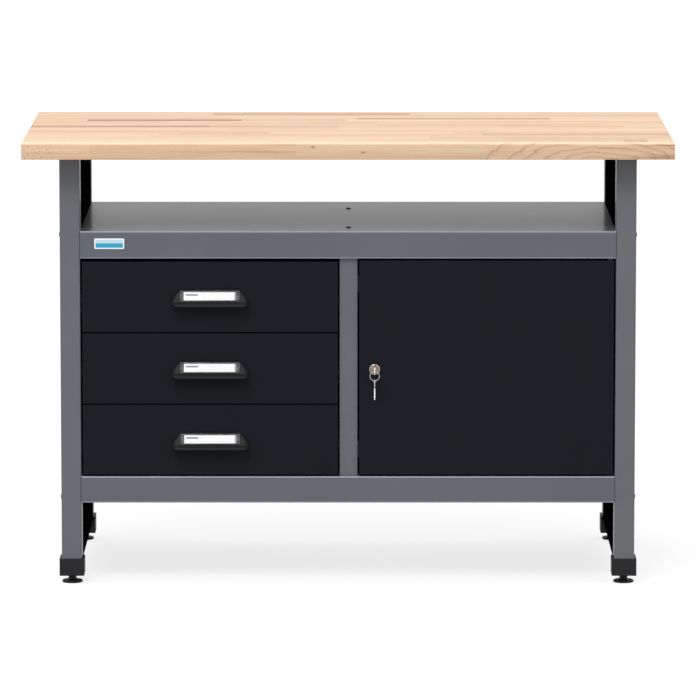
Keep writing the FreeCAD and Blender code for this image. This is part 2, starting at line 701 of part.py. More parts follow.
def slide_rail(number, wall_x, way):
    """The fixed channel of a slide, with its stop lug at the front."""
    z = rail_z(number)
    y0 = front_inner + RAIL_FRONT
    y1 = tray_rear - RAIL_REAR
    x_web = wall_x + way * SLIDE_T
    x_tip = wall_x + way * (SLIDE_W - SLIDE_GAP)
    parts = [
        block(wall_x, x_web, y0, y1, z - SLIDE_H / 2, z + SLIDE_H / 2),
        block(wall_x, x_tip, y0, y1, z - SLIDE_H / 2, z - SLIDE_H / 2 + SLIDE_T),
        block(wall_x, x_tip, y0, y1, z + SLIDE_H / 2 - SLIDE_T, z + SLIDE_H / 2),
        block(wall_x, wall_x + way * LUG_REACH, y0, y0 + LUG_L, z - LUG_H / 2, z + LUG_H / 2),
    ]
    holes = [rod(x, y, hole_z, RIVET_R, 2 * SLIDE_T, X * way) for x, y, hole_z, _ in rail_rivet_places()
             if near(x, wall_x) and near(hole_z, z)]
    return cut(fuse(parts), holes)


def slide_walls():
    """The two walls that carry the rails, with the direction from each to the drawer."""
    return ((-leg_in, 1), (divider_left, -1))


def drawer_slides(number):
    return Part.makeCompound([slide_member(number, x, way) for x, way in slide_walls()])


def drawer_rails():
    return Part.makeCompound([slide_rail(number, x, way)
                              for number in range(1, DRAWER_COUNT + 1) for x, way in slide_walls()])


def drawer_screws(number):
    screws = []
    for x, z in boss_places(number):
        head = rod(x, leg_front + SHEET, z, SCREW_HEAD_R, SCREW_HEAD_T, Y)
        shank = rod(x, leg_front + SHEET, z, SCREW_R, SHEET + HANDLE_SCREW_BITE, Y * -1)
        screws.append(fuse([head, shank]))
    for x, z in box_screw_places(number):
        head = rod(x, front_inner + BOX_SHEET, z, SCREW_HEAD_R, SCREW_HEAD_T, Y)
        screws.append(fuse([head, rod(x, front_inner + BOX_SHEET, z, SCREW_R, SCREW_L, Y * -1)]))
    return Part.makeCompound(screws)


def handle_outline(inset, below):
    """The handle seen from the front, as a face in the XZ plane, drawn in by inset.

    With below greater than 0 the outline runs on past the lower edge, to cut the underside open.
    """
    top = HANDLE_H / 2 - inset
    shoulder = -HANDLE_H / 2 + HANDLE_SHOULDER
    foot = -HANDLE_H / 2 - below
    half_top = HANDLE_TOP_W / 2 - inset * HANDLE_END_LEAN
    half = HANDLE_W / 2 - inset
    bend_x = half_top + (half - half_top) * HANDLE_END_OUT
    bend_z = top - (top - shoulder) * HANDLE_END_DOWN
    corner = 0.0 if below else HANDLE_CORNER
    corner_w = 0.0 if below else HANDLE_CORNER_W
    floor_half = half - corner_w
    edges = [Part.makeLine(V(-half_top, 0, top), V(half_top, 0, top)),
             Part.makeLine(V(-floor_half, 0, foot), V(floor_half, 0, foot))]
    for side in (-1, 1):
        edges.append(Part.Arc(V(side * half_top, 0, top), V(side * bend_x, 0, bend_z),
                              V(side * half, 0, shoulder)).toShape())
        edges.append(Part.makeLine(V(side * half, 0, shoulder), V(side * half, 0, foot + corner)))
        if corner:
            edges.append(Part.Arc(V(side * half, 0, foot + corner),
                                  V(side * (half - HANDLE_CORNER_MID * corner_w), 0,
                                    foot + HANDLE_CORNER_MID * corner),
                                  V(side * floor_half, 0, foot)).toShape())
    return Part.Face(Part.Wire(Part.sortEdges(edges)[0]))


def handle_profile(inset):
    """The handle's side section as a face in the YZ plane, drawn in by inset.

    With inset greater than 0 the section runs on past the back and the foot, to cut them open.
    """
    past = PAST if inset else 0.0
    top = HANDLE_H / 2 - inset
    foot = -HANDLE_H / 2 - 2 * past
    seat_z = HANDLE_H / 2 - HANDLE_SEAT_H
    top_y = max(HANDLE_TOP_DEPTH - inset, HANDLE_EDGE)
    seat_y = HANDLE_SEAT_DEPTH - inset
    lip_y = HANDLE_DEPTH - inset
    nose = V(0, HANDLE_NOSE_IN - lip_y, seat_z - HANDLE_NOSE_DROP)
    corners = [V(0, -lip_y, foot + HANDLE_CHAMFER_H), V(0, HANDLE_CHAMFER_D - lip_y, foot),
               V(0, past, foot), V(0, past, top), V(0, -top_y, top), V(0, -seat_y, seat_z)]
    edges = [Part.makeLine(a, b) for a, b in zip(corners, corners[1:])]
    edges.append(Part.Arc(corners[-1], nose, corners[0]).toShape())
    return Part.Face(Part.Wire(Part.sortEdges(edges)[0]))


def placed(shape, number):
    """Move a shape drawn about the handle's middle on the drawer face to its drawer."""
    shape.translate(V(handle_x(), leg_front, handle_z(number)))
    return shape


def drawer_handle(number):
    """A moulded shell grip, closed above and at its ends and open below for the fingers."""
    shells = []
    for inset, below in ((0, 0), (HANDLE_WALL, 3 * PAST)):
        profile = handle_profile(inset).extrude(V(HANDLE_W, 0, 0))
        profile.translate(V(-HANDLE_W / 2, 0, 0))
        outline = handle_outline(inset, below).extrude(V(0, -HANDLE_DEPTH - PAST, 0))
        shells.append(profile.common(outline))
    outer, inner = shells
    bosses = []
    holes = []
    for x, z in boss_places(number):
        local_x = x - handle_x()
        local_z = z - handle_z(number)
        bosses.append(rod(local_x, 0, local_z, HANDLE_BOSS_R, HANDLE_DEPTH, Y * -1))
        holes.append(rod(local_x, PAST, local_z, SCREW_R,
                         PAST + HANDLE_SCREW_BITE + HANDLE_SCREW_PLAY, Y * -1))
    bosses = [boss.common(outer) for boss in bosses]
    return placed(cut(fuse([cut(outer, [inner])] + bosses), holes), number)


def on_seat(length, height, out0, out1):
    """A slab on the sloping label seat, between two heights above the seat."""
    slope = math.degrees(math.atan2(HANDLE_SEAT_DEPTH - HANDLE_TOP_DEPTH, HANDLE_SEAT_H))
    slab = block(-length / 2, length / 2, -out1, -out0, -height / 2, height / 2)
    slab.rotate(V(0, 0, 0), X, slope * -1)
    slab.translate(V(0, -(HANDLE_SEAT_DEPTH + HANDLE_TOP_DEPTH) / 2, HANDLE_H / 2 - HANDLE_SEAT_H / 2))
    return slab


def drawer_label(number):
    return placed(on_seat(LABEL_L, LABEL_H, 0.0, LABEL_T), number)


def drawer_window(number):
    """The clear cover that holds the label on its seat."""
    cover = on_seat(WINDOW_L, WINDOW_H, 0.0, WINDOW_T)
    pocket = on_seat(LABEL_L + 2 * LABEL_PLAY, LABEL_H + 2 * LABEL_PLAY, -PAST, WINDOW_POCKET)
    return placed(cut(cover, [pocket]), number)


# --- door, hinge and lock ----------------------------------------------------------------------------

def door_panel():
    pan = folded_front(door_left, door_right, door_low, door_high, FRONT_LIP)
    barrel = rod(lock_x, leg_front - PAST, lock_z, BARREL_R, SHEET + 2 * PAST, Y)
    pivots = [rod(pivot_x, pivot_y, z, BUSH_R, 4 * SHEET, Z)
              for z in (door_low - 2 * SHEET, door_high - 2 * SHEET)]
    return cut(pan, [barrel] + pivots)


def door_liner():
    """The sheet that closes the inside of the door, behind the turned lips."""
    y1 = front_inner - SHEET
    plate = block(door_left + SHEET, door_right - SHEET, y1 - LINER_T, y1,
                  door_low + SHEET, door_high - SHEET)
    return cut(plate, [rod(lock_x, y1 - 2 * LINER_T, lock_z, BARREL_R + BARREL_GAP, 3 * LINER_T, Y)])


def hinge_pins():
    """The upper and lower pivot pins, each riveted into its sheet and standing into the door."""
    pins = []
    ends = ((floor_top, PLATE, BOTTOM_GAP, 1), (apron_low, PLATE, DOOR_TOP_GAP, -1))
    for z, sheet, gap, way in ends:
        collar_t = gap - BUSH_FLANGE_T - REST_GAP
        parts = [
            rod(pivot_x, pivot_y, z - way * sheet, PIN_HEAD_R, PIN_HEAD_T, Z * -way),
            rod(pivot_x, pivot_y, z - way * sheet, PIN_R, sheet + gap + PIN_REACH, Z * way),
            rod(pivot_x, pivot_y, z, PIN_COLLAR_R, collar_t, Z * way),
        ]
        pins.append(fuse(parts))
    return Part.makeCompound(pins)


def hinge_bushes():
    """Flanged bushes pressed into the lower and upper edges of the door."""
    bushes = []
    for z, way in ((door_low, 1), (door_high, -1)):
        flange = rod(pivot_x, pivot_y, z, BUSH_FLANGE_R, BUSH_FLANGE_T, Z * -way)
        sleeve = rod(pivot_x, pivot_y, z, BUSH_R, BUSH_DEPTH, Z * way)
        bore = rod(pivot_x, pivot_y, z - way * 2 * BUSH_FLANGE_T, PIN_R + PIN_PLAY,
                   BUSH_DEPTH + 3 * BUSH_FLANGE_T, Z * way)
        bushes.append(cut(fuse([flange, sleeve]), [bore]))
    return Part.makeCompound(bushes)


def door_buffers():
    x = divider_right + STOP_TAB_W - BUFFER_R - BUFFER_IN
    return Part.makeCompound([rod(x, front_inner + REST_GAP, z, BUFFER_R, BUFFER_T, Y)
                              for z in stop_tab_heights()])


def lock_body():
    """The lock's barrel with its raised rosette, bored for the plug."""
    rosette = rod(lock_x, leg_front, lock_z, ROSETTE_R, ROSETTE_T, Y * -1)
    rosette = rounded(rosette, ROSETTE_T * DOME, lambda e: near(middle(e).y, leg_front - ROSETTE_T))
    barrel = rod(lock_x, leg_front, lock_z, BARREL_R, BARREL_L, Y)
    bore = rod(lock_x, leg_front - ROSETTE_T - PAST, lock_z, PLUG_R + PLUG_PLAY,
               ROSETTE_T + BARREL_L + 2 * PAST, Y)
    return cut(fuse([rosette, barrel]), [bore])


def lock_nut():
    y = leg_front + SHEET
    nut = hexagon(lock_x, y, lock_z, NUT_AF, NUT_T, Y)
    return cut(nut, [rod(lock_x, y - PAST, lock_z, BARREL_R, NUT_T + 2 * PAST, Y)])


def cam_front():
    """Front face of the cam, just behind the barrel."""
    return leg_front + BARREL_L + CAM_GAP


def lock_plug():
    """The turning core with its keyway, and a square tail for the cam."""
    y0 = leg_front - ROSETTE_T - PLUG_PROUD
    core = rod(lock_x, y0, lock_z, PLUG_R, cam_front() - y0, Y)
    core = rounded(core, PLUG_PROUD * DOME, lambda e: near(middle(e).y, y0))
    tail = block(lock_x - TAIL / 2, lock_x + TAIL / 2, cam_front(), cam_front() + CAM_T,
                 lock_z - TAIL / 2, lock_z + TAIL / 2)
    keyway = block(lock_x - KEY_T / 2 - KEYWAY_PLAY, lock_x + KEY_T / 2 + KEYWAY_PLAY, y0 - PAST,
                   leg_front - ROSETTE_T - KEY_STAND + KEY_BLADE_L + PAST,
                   lock_z - KEY_BLADE_H / 2 - KEYWAY_PLAY, lock_z + KEY_BLADE_H / 2 + KEYWAY_PLAY)
    screw = rod(lock_x, cam_front() + CAM_T - CAM_SCREW_BITE, lock_z, CAM_SCREW_R, CAM_SCREW_BITE, Y)
    return cut(fuse([core, tail]), [keyway, screw])


def lock_cam():
    """The flat cam on the plug's tail. It points down while the door is unlocked."""
    y0 = cam_front()
    reach = CAM_L - CAM_W / 2
    blade = block(lock_x - CAM_W / 2, lock_x + CAM_W / 2, y0, y0 + CAM_T, lock_z - reach, lock_z)
    ends = [rod(lock_x, y0, z, CAM_W / 2, CAM_T, Y) for z in (lock_z, lock_z - reach)]
    hole = block(lock_x - TAIL / 2, lock_x + TAIL / 2, y0 - PAST, y0 + CAM_T + PAST,
                 lock_z - TAIL / 2, lock_z + TAIL / 2)
    return cut(fuse([blade] + ends), [hole])


def cam_screw():
    y0 = cam_front() + CAM_T
    head = rod(lock_x, y0, lock_z, CAM_SCREW_HEAD_R, CAM_SCREW_T, Y)
    head = rounded(head, CAM_SCREW_T * DOME, lambda e: near(middle(e).y, y0 + CAM_SCREW_T))
    shank = rod(lock_x, y0, lock_z, CAM_SCREW_R, CAM_SCREW_BITE, Y * -1)
    return fuse([head, shank])


def flat_key():
    """A key lying in the YZ plane, hole at the origin and blade towards +Y."""
    centre = KEY_HOLE_OUT
    bow = rod(-KEY_T / 2, centre, 0, KEY_BOW_R, KEY_T, X)
    blade_y = centre + KEY_BOW_R - KEY_JOIN
    half = KEY_BLADE_H / 2
    tip_y = centre + KEY_BOW_R + KEY_BLADE_L
    high, low = KEY_TIP
    outline = [(blade_y, -half), (blade_y, half), (tip_y - half, half),
               (tip_y, half * high), (tip_y, half * low)]
    side = KEY_CUT_PITCH * KEY_CUT_W
    for place, depth in enumerate(KEY_CUTS):
        y = tip_y - KEY_CUT_IN - place * KEY_CUT_PITCH
        outline += [(y - side, half * (depth - 1)), (y - 2 * side, -half)]
    corners = [V(-KEY_T / 2, y, z) for y, z in outline + outline[:1]]
    blade = Part.Face(Part.makePolygon(corners)).extrude(V(KEY_T, 0, 0))
    hole = rod(-KEY_T, 0, 0, KEY_HOLE_R, 2 * KEY_T, X)
    return cut(fuse([bow, blade]), [hole])


def key_hole_y():
    """Depth of the inserted key's hole; the bow stands clear of the rosette."""
    return leg_front - ROSETTE_T - KEY_STAND - KEY_BOW_R - KEY_HOLE_OUT


def ring_top():
    """Height of the ring's wire where it hangs in the inserted key's hole."""
    return lock_z - KEY_HOLE_R + RING_CLEAR + RING_WIRE_R


def key():
    shape = flat_key()
    shape.translate(V(lock_x, key_hole_y(), lock_z))
    return shape


def key_ring():
    return Part.makeTorus(RING_R, RING_WIRE_R, V(lock_x, key_hole_y(), ring_top() - RING_R), Y)


def spare_key():
    shape = flat_key()
    shape.rotate(V(0, 0, 0), X, -90)
    hole_z = ring_top() - 2 * RING_R + RING_WIRE_R + RING_CLEAR - KEY_HOLE_R
    shape.translate(V(lock_x, key_hole_y(), hole_z))
    return shape


# --- writing -----------------------------------------------------------------------------------------

def pieces():
    """Every piece of the bench, by name."""
    made = {
        "worktop": worktop(),
        "leg_front_left": leg(-1, leg_front),
        "leg_front_right": leg(1, leg_front),
        "leg_rear_left": leg(-1, rear_leg_front),
        "leg_rear_right": leg(1, rear_leg_front),
        "side_panel_left": side_panel(-1),
        "side_panel_right": side_panel(1),
        "tray": tray(),
        "cabinet_floor": cabinet_floor(),
        "divider": divider(),
        "back_panel": back_panel(),
        "badge": badge(),
        "drawer_rails": drawer_rails(),
        "hinge_pins": hinge_pins(),
        "door_buffers": door_buffers(),
        "side_bolts": side_bolts(),
        "side_nuts": side_nuts(),
        "divider_screws": divider_screws(),
        "worktop_screws": worktop_screws(),
        "blind_rivets": blind_rivets(),
        "door_panel": door_panel(),
        "door_liner": door_liner(),
        "hinge_bushes": hinge_bushes(),
        "lock_body": lock_body(),
        "lock_nut": lock_nut(),
        "lock_plug": lock_plug(),
        "lock_cam": lock_cam(),
        "cam_screw": cam_screw(),
        "key": key(),
        "key_ring": key_ring(),
        "spare_key": spare_key(),
    }
    for name, side, y0 in foot_places():
        made["foot_cap_" + name] = foot_cap(side, y0)
        made["levelling_foot_" + name] = levelling_foot(side, y0)
    for number in range(1, DRAWER_COUNT + 1):
        name = "drawer_%d_" % number
        made[name + "front"] = drawer_front(number)
        made[name + "box"] = drawer_box(number)
        made[name + "slides"] = drawer_slides(number)
        made[name + "screws"] = drawer_screws(number)
        made[name + "handle"] = drawer_handle(number)
        made[name + "label"] = drawer_label(number)
        made[name + "window"] = drawer_window(number)
    return made


os.makedirs("parts", exist_ok=True)
for node, shape in pieces().items():
    shape.exportStep("parts/" + node + ".step")
    facts = (node, len(shape.Solids), shape.isValid(), shape.Volume)
    print("%-28s solids %2d  valid %s  volume %.0f" % facts)
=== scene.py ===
"""The looks of a workbench with a beech top, a tool tray, three drawers and a lockable door.

Metres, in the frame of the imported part: +Z is up, the front faces -Y and the origin is on the
floor under the middle of the worktop.
"""
import logging
import math
import random
from dataclasses import dataclass, replace
from enum import Enum
from typing import Callable, Sequence, Union

import bmesh
import bpy
from bmesh.types import BMEdge, BMesh
from bpy.types import Material, NodeSocket, NodeTree, Object
from mathutils import Matrix, Vector


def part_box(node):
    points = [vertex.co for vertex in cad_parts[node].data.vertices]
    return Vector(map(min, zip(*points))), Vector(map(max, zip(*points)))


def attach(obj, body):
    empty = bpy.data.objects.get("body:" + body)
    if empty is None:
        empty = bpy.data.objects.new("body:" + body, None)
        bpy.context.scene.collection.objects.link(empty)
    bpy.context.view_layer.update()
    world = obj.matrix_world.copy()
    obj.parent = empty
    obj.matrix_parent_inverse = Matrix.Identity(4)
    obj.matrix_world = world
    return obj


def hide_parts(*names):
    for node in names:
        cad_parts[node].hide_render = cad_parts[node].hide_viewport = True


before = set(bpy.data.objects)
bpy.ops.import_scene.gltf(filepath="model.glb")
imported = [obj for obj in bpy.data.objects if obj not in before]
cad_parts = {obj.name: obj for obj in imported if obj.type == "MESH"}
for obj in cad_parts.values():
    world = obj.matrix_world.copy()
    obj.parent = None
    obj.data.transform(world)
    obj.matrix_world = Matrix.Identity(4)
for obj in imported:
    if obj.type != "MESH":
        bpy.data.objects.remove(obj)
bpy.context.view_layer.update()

Colour = tuple[float, float, float]
Pair = tuple[float, float]
Point = tuple[float, float, float]
Value = Union["Link", float]

MM = 0.001
FULL_TURN = 2.0 * math.pi
log = logging.getLogger("workbench")


def tint(red: int, green: int, blue: int) -> Colour:
    """The linear colour of a screen colour with channels from 0 to 255."""
    def linear(level: int) -> float:
        """One channel, made linear."""
        share = level / 255.0
        return share / 12.92 if share <= 0.04045 else ((share + 0.055) / 1.055) ** 2.4

    return linear(red), linear(green), linear(blue)


def scaled(colour: Colour, by: float) -> Colour:
    """A colour made lighter or darker, at most full white."""
    return tuple(min(1.0, channel * by) for channel in colour)


# --- shaders ---

def operator(operation: str, reflected: bool = False) -> Callable[["Link", Value], "Link"]:
    """A method of Link that adds one Math node.

    Args:
        operation: The Math node's operation.
        reflected: Whether the link is the node's second value.

    Returns:
        The method.
    """
    def apply(link: "Link", other: Value) -> "Link":
        """The link and another value through the node."""
        first, second = (other, link) if reflected else (link, other)
        return link.wiring.node("ShaderNodeMath", {"operation": operation}, {0: first, 1: second})

    return apply


class Link:
    """An output of a node that can stand in a sum."""

    __add__ = operator("ADD")
    __radd__ = operator("ADD", True)
    __sub__ = operator("SUBTRACT")
    __rsub__ = operator("SUBTRACT", True)
    __mul__ = operator("MULTIPLY")
    __rmul__ = operator("MULTIPLY", True)
    __truediv__ = operator("DIVIDE")
    __rtruediv__ = operator("DIVIDE", True)
    __pow__ = operator("POWER")
    __gt__ = operator("GREATER_THAN")

    def __init__(self, wiring: "Wiring", socket: NodeSocket) -> None:
        """Keep the output socket and the wiring that it belongs to."""
        self.wiring = wiring
        self.socket = socket

    def out(self, name: str) -> "Link":
        """Another output of the same node, by name."""
        return Link(self.wiring, self.socket.node.outputs[name])


class Wiring:
    """A node tree that is being wired."""

    def __init__(self, tree: NodeTree) -> None:
        """Keep the tree."""
        self.tree = tree

    def node(self, kind: str, settings: dict | None = None, values: dict | None = None,
             output: str | int = 0) -> Link:
        """Add a node.

        Args:
            kind: The node's type.
            settings: Its settings, set first; "stops" are a colour ramp's places and colours.
            values: The value or link of each input socket, by name or number.
            output: The output to return, by name or number.

        Returns:
            One of the node's outputs.
        """
        made = self.tree.nodes.new(kind)
        for name, setting in (settings or {}).items():
            if name == "stops":
                for place, colour in setting[1:-1]:
                    made.color_ramp.elements.new(place)
                for element, (place, colour) in zip(made.color_ramp.elements, setting):
                    element.position = place
                    element.color = (*colour, 1.0)
            else:
                setattr(made, name, setting)
        for name, value in (values or {}).items():
            self.feed(made.inputs[name], value)
        return Link(self, made.outputs[output])

    def feed(self, socket: NodeSocket, value: object) -> None:
        """Give an input socket a link, a number, a vector or a colour."""
        if isinstance(value, Link):
            self.tree.links.new(value.socket, socket)
        elif socket.type == "RGBA":
            socket.default_value = (*value[:3], 1.0)
        else:
            socket.default_value = value


class Shader(Wiring):
    """A material that is wired up to one Principled surface."""

    def __init__(self, name: str) -> None:
        """Start a material of that name."""
        self.material = bpy.data.materials.new(name)
        self.material.use_nodes = True
        super().__init__(self.material.node_tree)
        self.surface = self.tree.nodes["Principled BSDF"]

    def finish(self, **values: object) -> Material:
        """Feed the Principled surface.

        Args:
            values: The value or link of each input, with _ for a space in its name.

        Returns:
            The finished material.
        """
        for name, value in values.items():
            self.feed(self.surface.inputs[name.replace("_", " ")], value)
        return self.material

    def place(self, kind: str = "Object") -> Link:
        """The point that is being shaded, in the part's frame or as shares of its box."""
        return self.node("ShaderNodeTexCoord", output=kind)

    def stretched(self, place: Link, scale: Point) -> Link:
        """A point with each coordinate scaled."""
        return self.node("ShaderNodeVectorMath", {"operation": "MULTIPLY"}, {0: place, 1: scale})

    def shifted(self, place: Link, by: Link) -> Link:
        """A point moved by a vector."""
        return self.node("ShaderNodeVectorMath", {"operation": "ADD"}, {0: place, 1: by})

    def split(self, vector: Link) -> tuple[Link, Link, Link]:
        """The three coordinates of a vector."""
        first = self.node("ShaderNodeSeparateXYZ", values={"Vector": vector})
        return first, first.out("Y"), first.out("Z")

    def joined(self, x: Value, y: Value, z: Value) -> Link:
        """A vector from three coordinates."""
        return self.node("ShaderNodeCombineXYZ", values={"X": x, "Y": y, "Z": z})

    def noise(self, place: Link, cells: float | Point, detail: float = 2.0,
              roughness: float = 0.5) -> Link:
        """Soft noise from 0 to 1.

        Args:
            place: The point that is being shaded.
            cells: How many cells there are in a metre, or in a metre of each direction.
            detail: How many finer layers are added.
            roughness: How strong each finer layer is.

        Returns:
            The noise.
        """
        if isinstance(cells, tuple):
            place, cells = self.stretched(place, cells), 1.0
        return self.node("ShaderNodeTexNoise", values={
            "Vector": place, "Scale": cells, "Detail": detail, "Roughness": roughness})

    def between(self, value: Link, low: float, high: float) -> Link:
        """A value as a share of the way from low to high, smoothed and kept between 0 and 1."""
        return self.node("ShaderNodeMapRange", {"interpolation_type": "SMOOTHSTEP"},
                         {"Value": value, "From Min": low, "From Max": high})

    def mix(self, share: Value, first: object, second: object) -> Link:
        """Two colours mixed, with a share of the second."""
        return self.node("ShaderNodeMix", {"data_type": "RGBA"}, {0: share, 6: first, 7: second}, 2)

    def worn(self, radius: float) -> tuple[Link, Link]:
        """A mask of the edges, and the surface's direction with its edges softened."""
        soft = self.node("ShaderNodeBevel", {"samples": 4}, {"Radius": radius})
        flat = self.node("ShaderNodeNewGeometry", output="Normal")
        along = self.node("ShaderNodeVectorMath", {"operation": "DOT_PRODUCT"}, {0: soft, 1: flat},
                          "Value")
        return self.between(1.0 - along, 0.0, 0.25), soft

    def bump(self, height: Link, depth: float, normal: Link | None = None) -> Link:
        """Relief from a height of 0 to 1.

        Args:
            height: The height.
            depth: The depth of the relief in metres.
            normal: The direction of the surface under the relief.

        Returns:
            The surface's direction with the relief.
        """
        values = {"Height": height, "Distance": depth, "Strength": 1.0}
        if normal is not None:
            values["Normal"] = normal
        return self.node("ShaderNodeBump", values=values)


# --- finishes ---

@dataclass(frozen=True)
class PowderCoat:
    """Baked powder paint on sheet steel: orange peel, faint clouds, edges paler from wear and from a
    painted highlight, painted highlight lines along folds and painted shade past an x.
    """

    name: str
    colour: Colour
    roughness: float
    gloss: float
    skin: float = 0.0
    peel: float = 0.02 * MM
    cloud: float = 0.05
    edge: float = 0.35
    fold: float = 1.2 * MM
    fold_highlight_band: Pair = (1.4 * MM, 2.8 * MM)
    fold_highlight_gain: float = 3.5
    gap_shade: Colour = tint(12, 12, 14)
    skin_roughness: float = 0.16

    def make(self, folds: Sequence[Pair] = (), gap_shade_beyond: float | None = None) -> Material:
        """The material.

        Args:
            folds: The depth and height of each fold that runs across the bench, along which a
                painted highlight line is drawn.
            gap_shade_beyond: The x beyond which the sheet is painted near-black as painted shade.

        Returns:
            The finished material.
        """
        shader = Shader(self.name)
        place = shader.place()
        x, y, z = shader.split(place)
        clouds = shader.noise(place, 5.0, 4.0, 0.6)
        pores = shader.noise(place, 1400.0, 1.0)
        skin = shader.noise(place, 420.0, 2.0)
        edges, soft = shader.worn(self.fold)
        darker = scaled(self.colour, 1.0 - self.cloud)
        lighter = scaled(self.colour, 1.0 + self.cloud)
        paler_tone = tuple(c + (0.5 - c) * self.edge * 0.2 for c in self.colour)
        # A much lighter copy of the paint, drawn along the folds below as a painted highlight line.
        thin = scaled(self.colour, self.fold_highlight_gain)
        paint = shader.mix(shader.between(clouds, 0.3, 0.7), darker, lighter)
        paint = shader.mix(shader.between(pores, 0.62, 0.8) * 0.12, paint, paler_tone)
        # Edges turn paler: partly edge wear, partly a painted highlight along them.
        paint = shader.mix(edges * self.edge, paint, paler_tone)
        for depth, height in folds:
            off_y = y - depth
            off_z = z - height
            away = (off_y * off_y + off_z * off_z) ** 0.5
            paint = shader.mix((1.0 - shader.between(away, *self.fold_highlight_band)) * 0.8, paint, thin)
        # Past that x the sheet is painted near-black as painted shade in the gap beside the door.
        if gap_shade_beyond:
            paint = shader.mix(x > gap_shade_beyond, paint, self.gap_shade)
        return shader.finish(
            Base_Color=paint,
            Roughness=self.roughness + (clouds - 0.5) * 0.08 + (skin - 0.5) * 0.1 - edges * 0.08,
            Specular_IOR_Level=self.gloss,
            Coat_Weight=self.skin,
            Coat_Roughness=self.skin_roughness,
            Normal=shader.bump(skin * 0.75 + pores * 0.25, self.peel, soft))


@dataclass(frozen=True)
class MouldedPlastic:
    """Injection-moulded plastic or rubber with an eroded surface and paler edges as a painted sheen.
    """

    name: str
    colour: Colour
    roughness: float
    gloss: float = 0.5
    grain: float = 0.03 * MM

    def make(self) -> Material:
        """The material."""
        shader = Shader(self.name)
        place = shader.place()
        grit = shader.noise(place, 1900.0, 2.0, 0.6)
        flow = shader.noise(place, (12.0, 40.0, 40.0), 3.0)
        edges, soft = shader.worn(0.5 * MM)
        pale = tuple(min(1.0, c * 1.3 + 0.006) for c in self.colour)
        deep = scaled(self.colour, 0.88)
        body = shader.mix(shader.between(flow, 0.3, 0.7), deep, self.colour)
        # Edges are mixed towards a paler colour as a painted sheen.
        body = shader.mix(edges * 0.5, body, pale)
        return shader.finish(
            Base_Color=body,
            Roughness=self.roughness + (grit - 0.5) * 0.16 + (flow - 0.5) * 0.08,
            Specular_IOR_Level=self.gloss,
            Normal=shader.bump(grit, self.grain, soft))


@dataclass(frozen=True)
class PlatedMetal:
    """Bare or plated metal with hairline scratches, dull spots and brighter edges."""

    name: str
    colour: Colour
    roughness: float
    scratches: float = 0.006 * MM
    dull: float = 0.25

    def make(self) -> Material:
        """The material."""
        shader = Shader(self.name)
        place = shader.place()
        hairs = shader.noise(place, (300.0, 2600.0, 900.0), 2.0)
        spots = shader.noise(place, 170.0, 4.0, 0.65)
        edges, soft = shader.worn(0.35 * MM)
        dim = scaled(self.colour, 1.0 - self.dull)
        bright = scaled(self.colour, 1.12)
        skin = shader.mix(shader.between(spots, 0.45, 0.75), self.colour, dim)
        skin = shader.mix(edges * 0.6, skin, bright)
        return shader.finish(
            Base_Color=skin,
            Metallic=1.0,
            Roughness=(self.roughness + shader.between(spots, 0.4, 0.8) * 0.14
                       + (hairs - 0.5) * 0.12),
            Normal=shader.bump(hairs, self.scratches, soft))


@dataclass(frozen=True)
class KeyMetal:
    """Nickelled key: a satin bow, a stamped line under it and a bright cut blade."""

    name: str = "spare_key_nickel"
    bow: Colour = tint(172, 172, 176)
    blade: Colour = tint(242, 241, 239)
    line: Colour = tint(52, 50, 52)
    bow_foot: float = 0.64
    line_foot: float = 0.60

    def make(self) -> Material:
        """The material."""
        shader = Shader(self.name)
        place = shader.place()
        _, _, up = shader.split(shader.place("Generated"))
        mill = shader.noise(place, (2600.0, 2600.0, 240.0), 2.0)
        spots = shader.noise(place, 240.0, 3.0, 0.6)
        edges, soft = shader.worn(0.3 * MM)
        metal = shader.mix(up > self.bow_foot, self.blade, self.bow)
        metal = shader.mix((up > self.line_foot) * (1.0 - (up > self.bow_foot)), metal, self.line)
        metal = shader.mix(shader.between(spots, 0.5, 0.8) * 0.2, metal, self.bow)
        return shader.finish(
            Base_Color=shader.mix(edges * 0.4, metal, self.blade),
            Metallic=1.0,
            Roughness=0.18 + (up > self.bow_foot) * 0.16 + (mill - 0.5) * 0.14,
            Normal=shader.bump(mill, 0.006 * MM, soft))


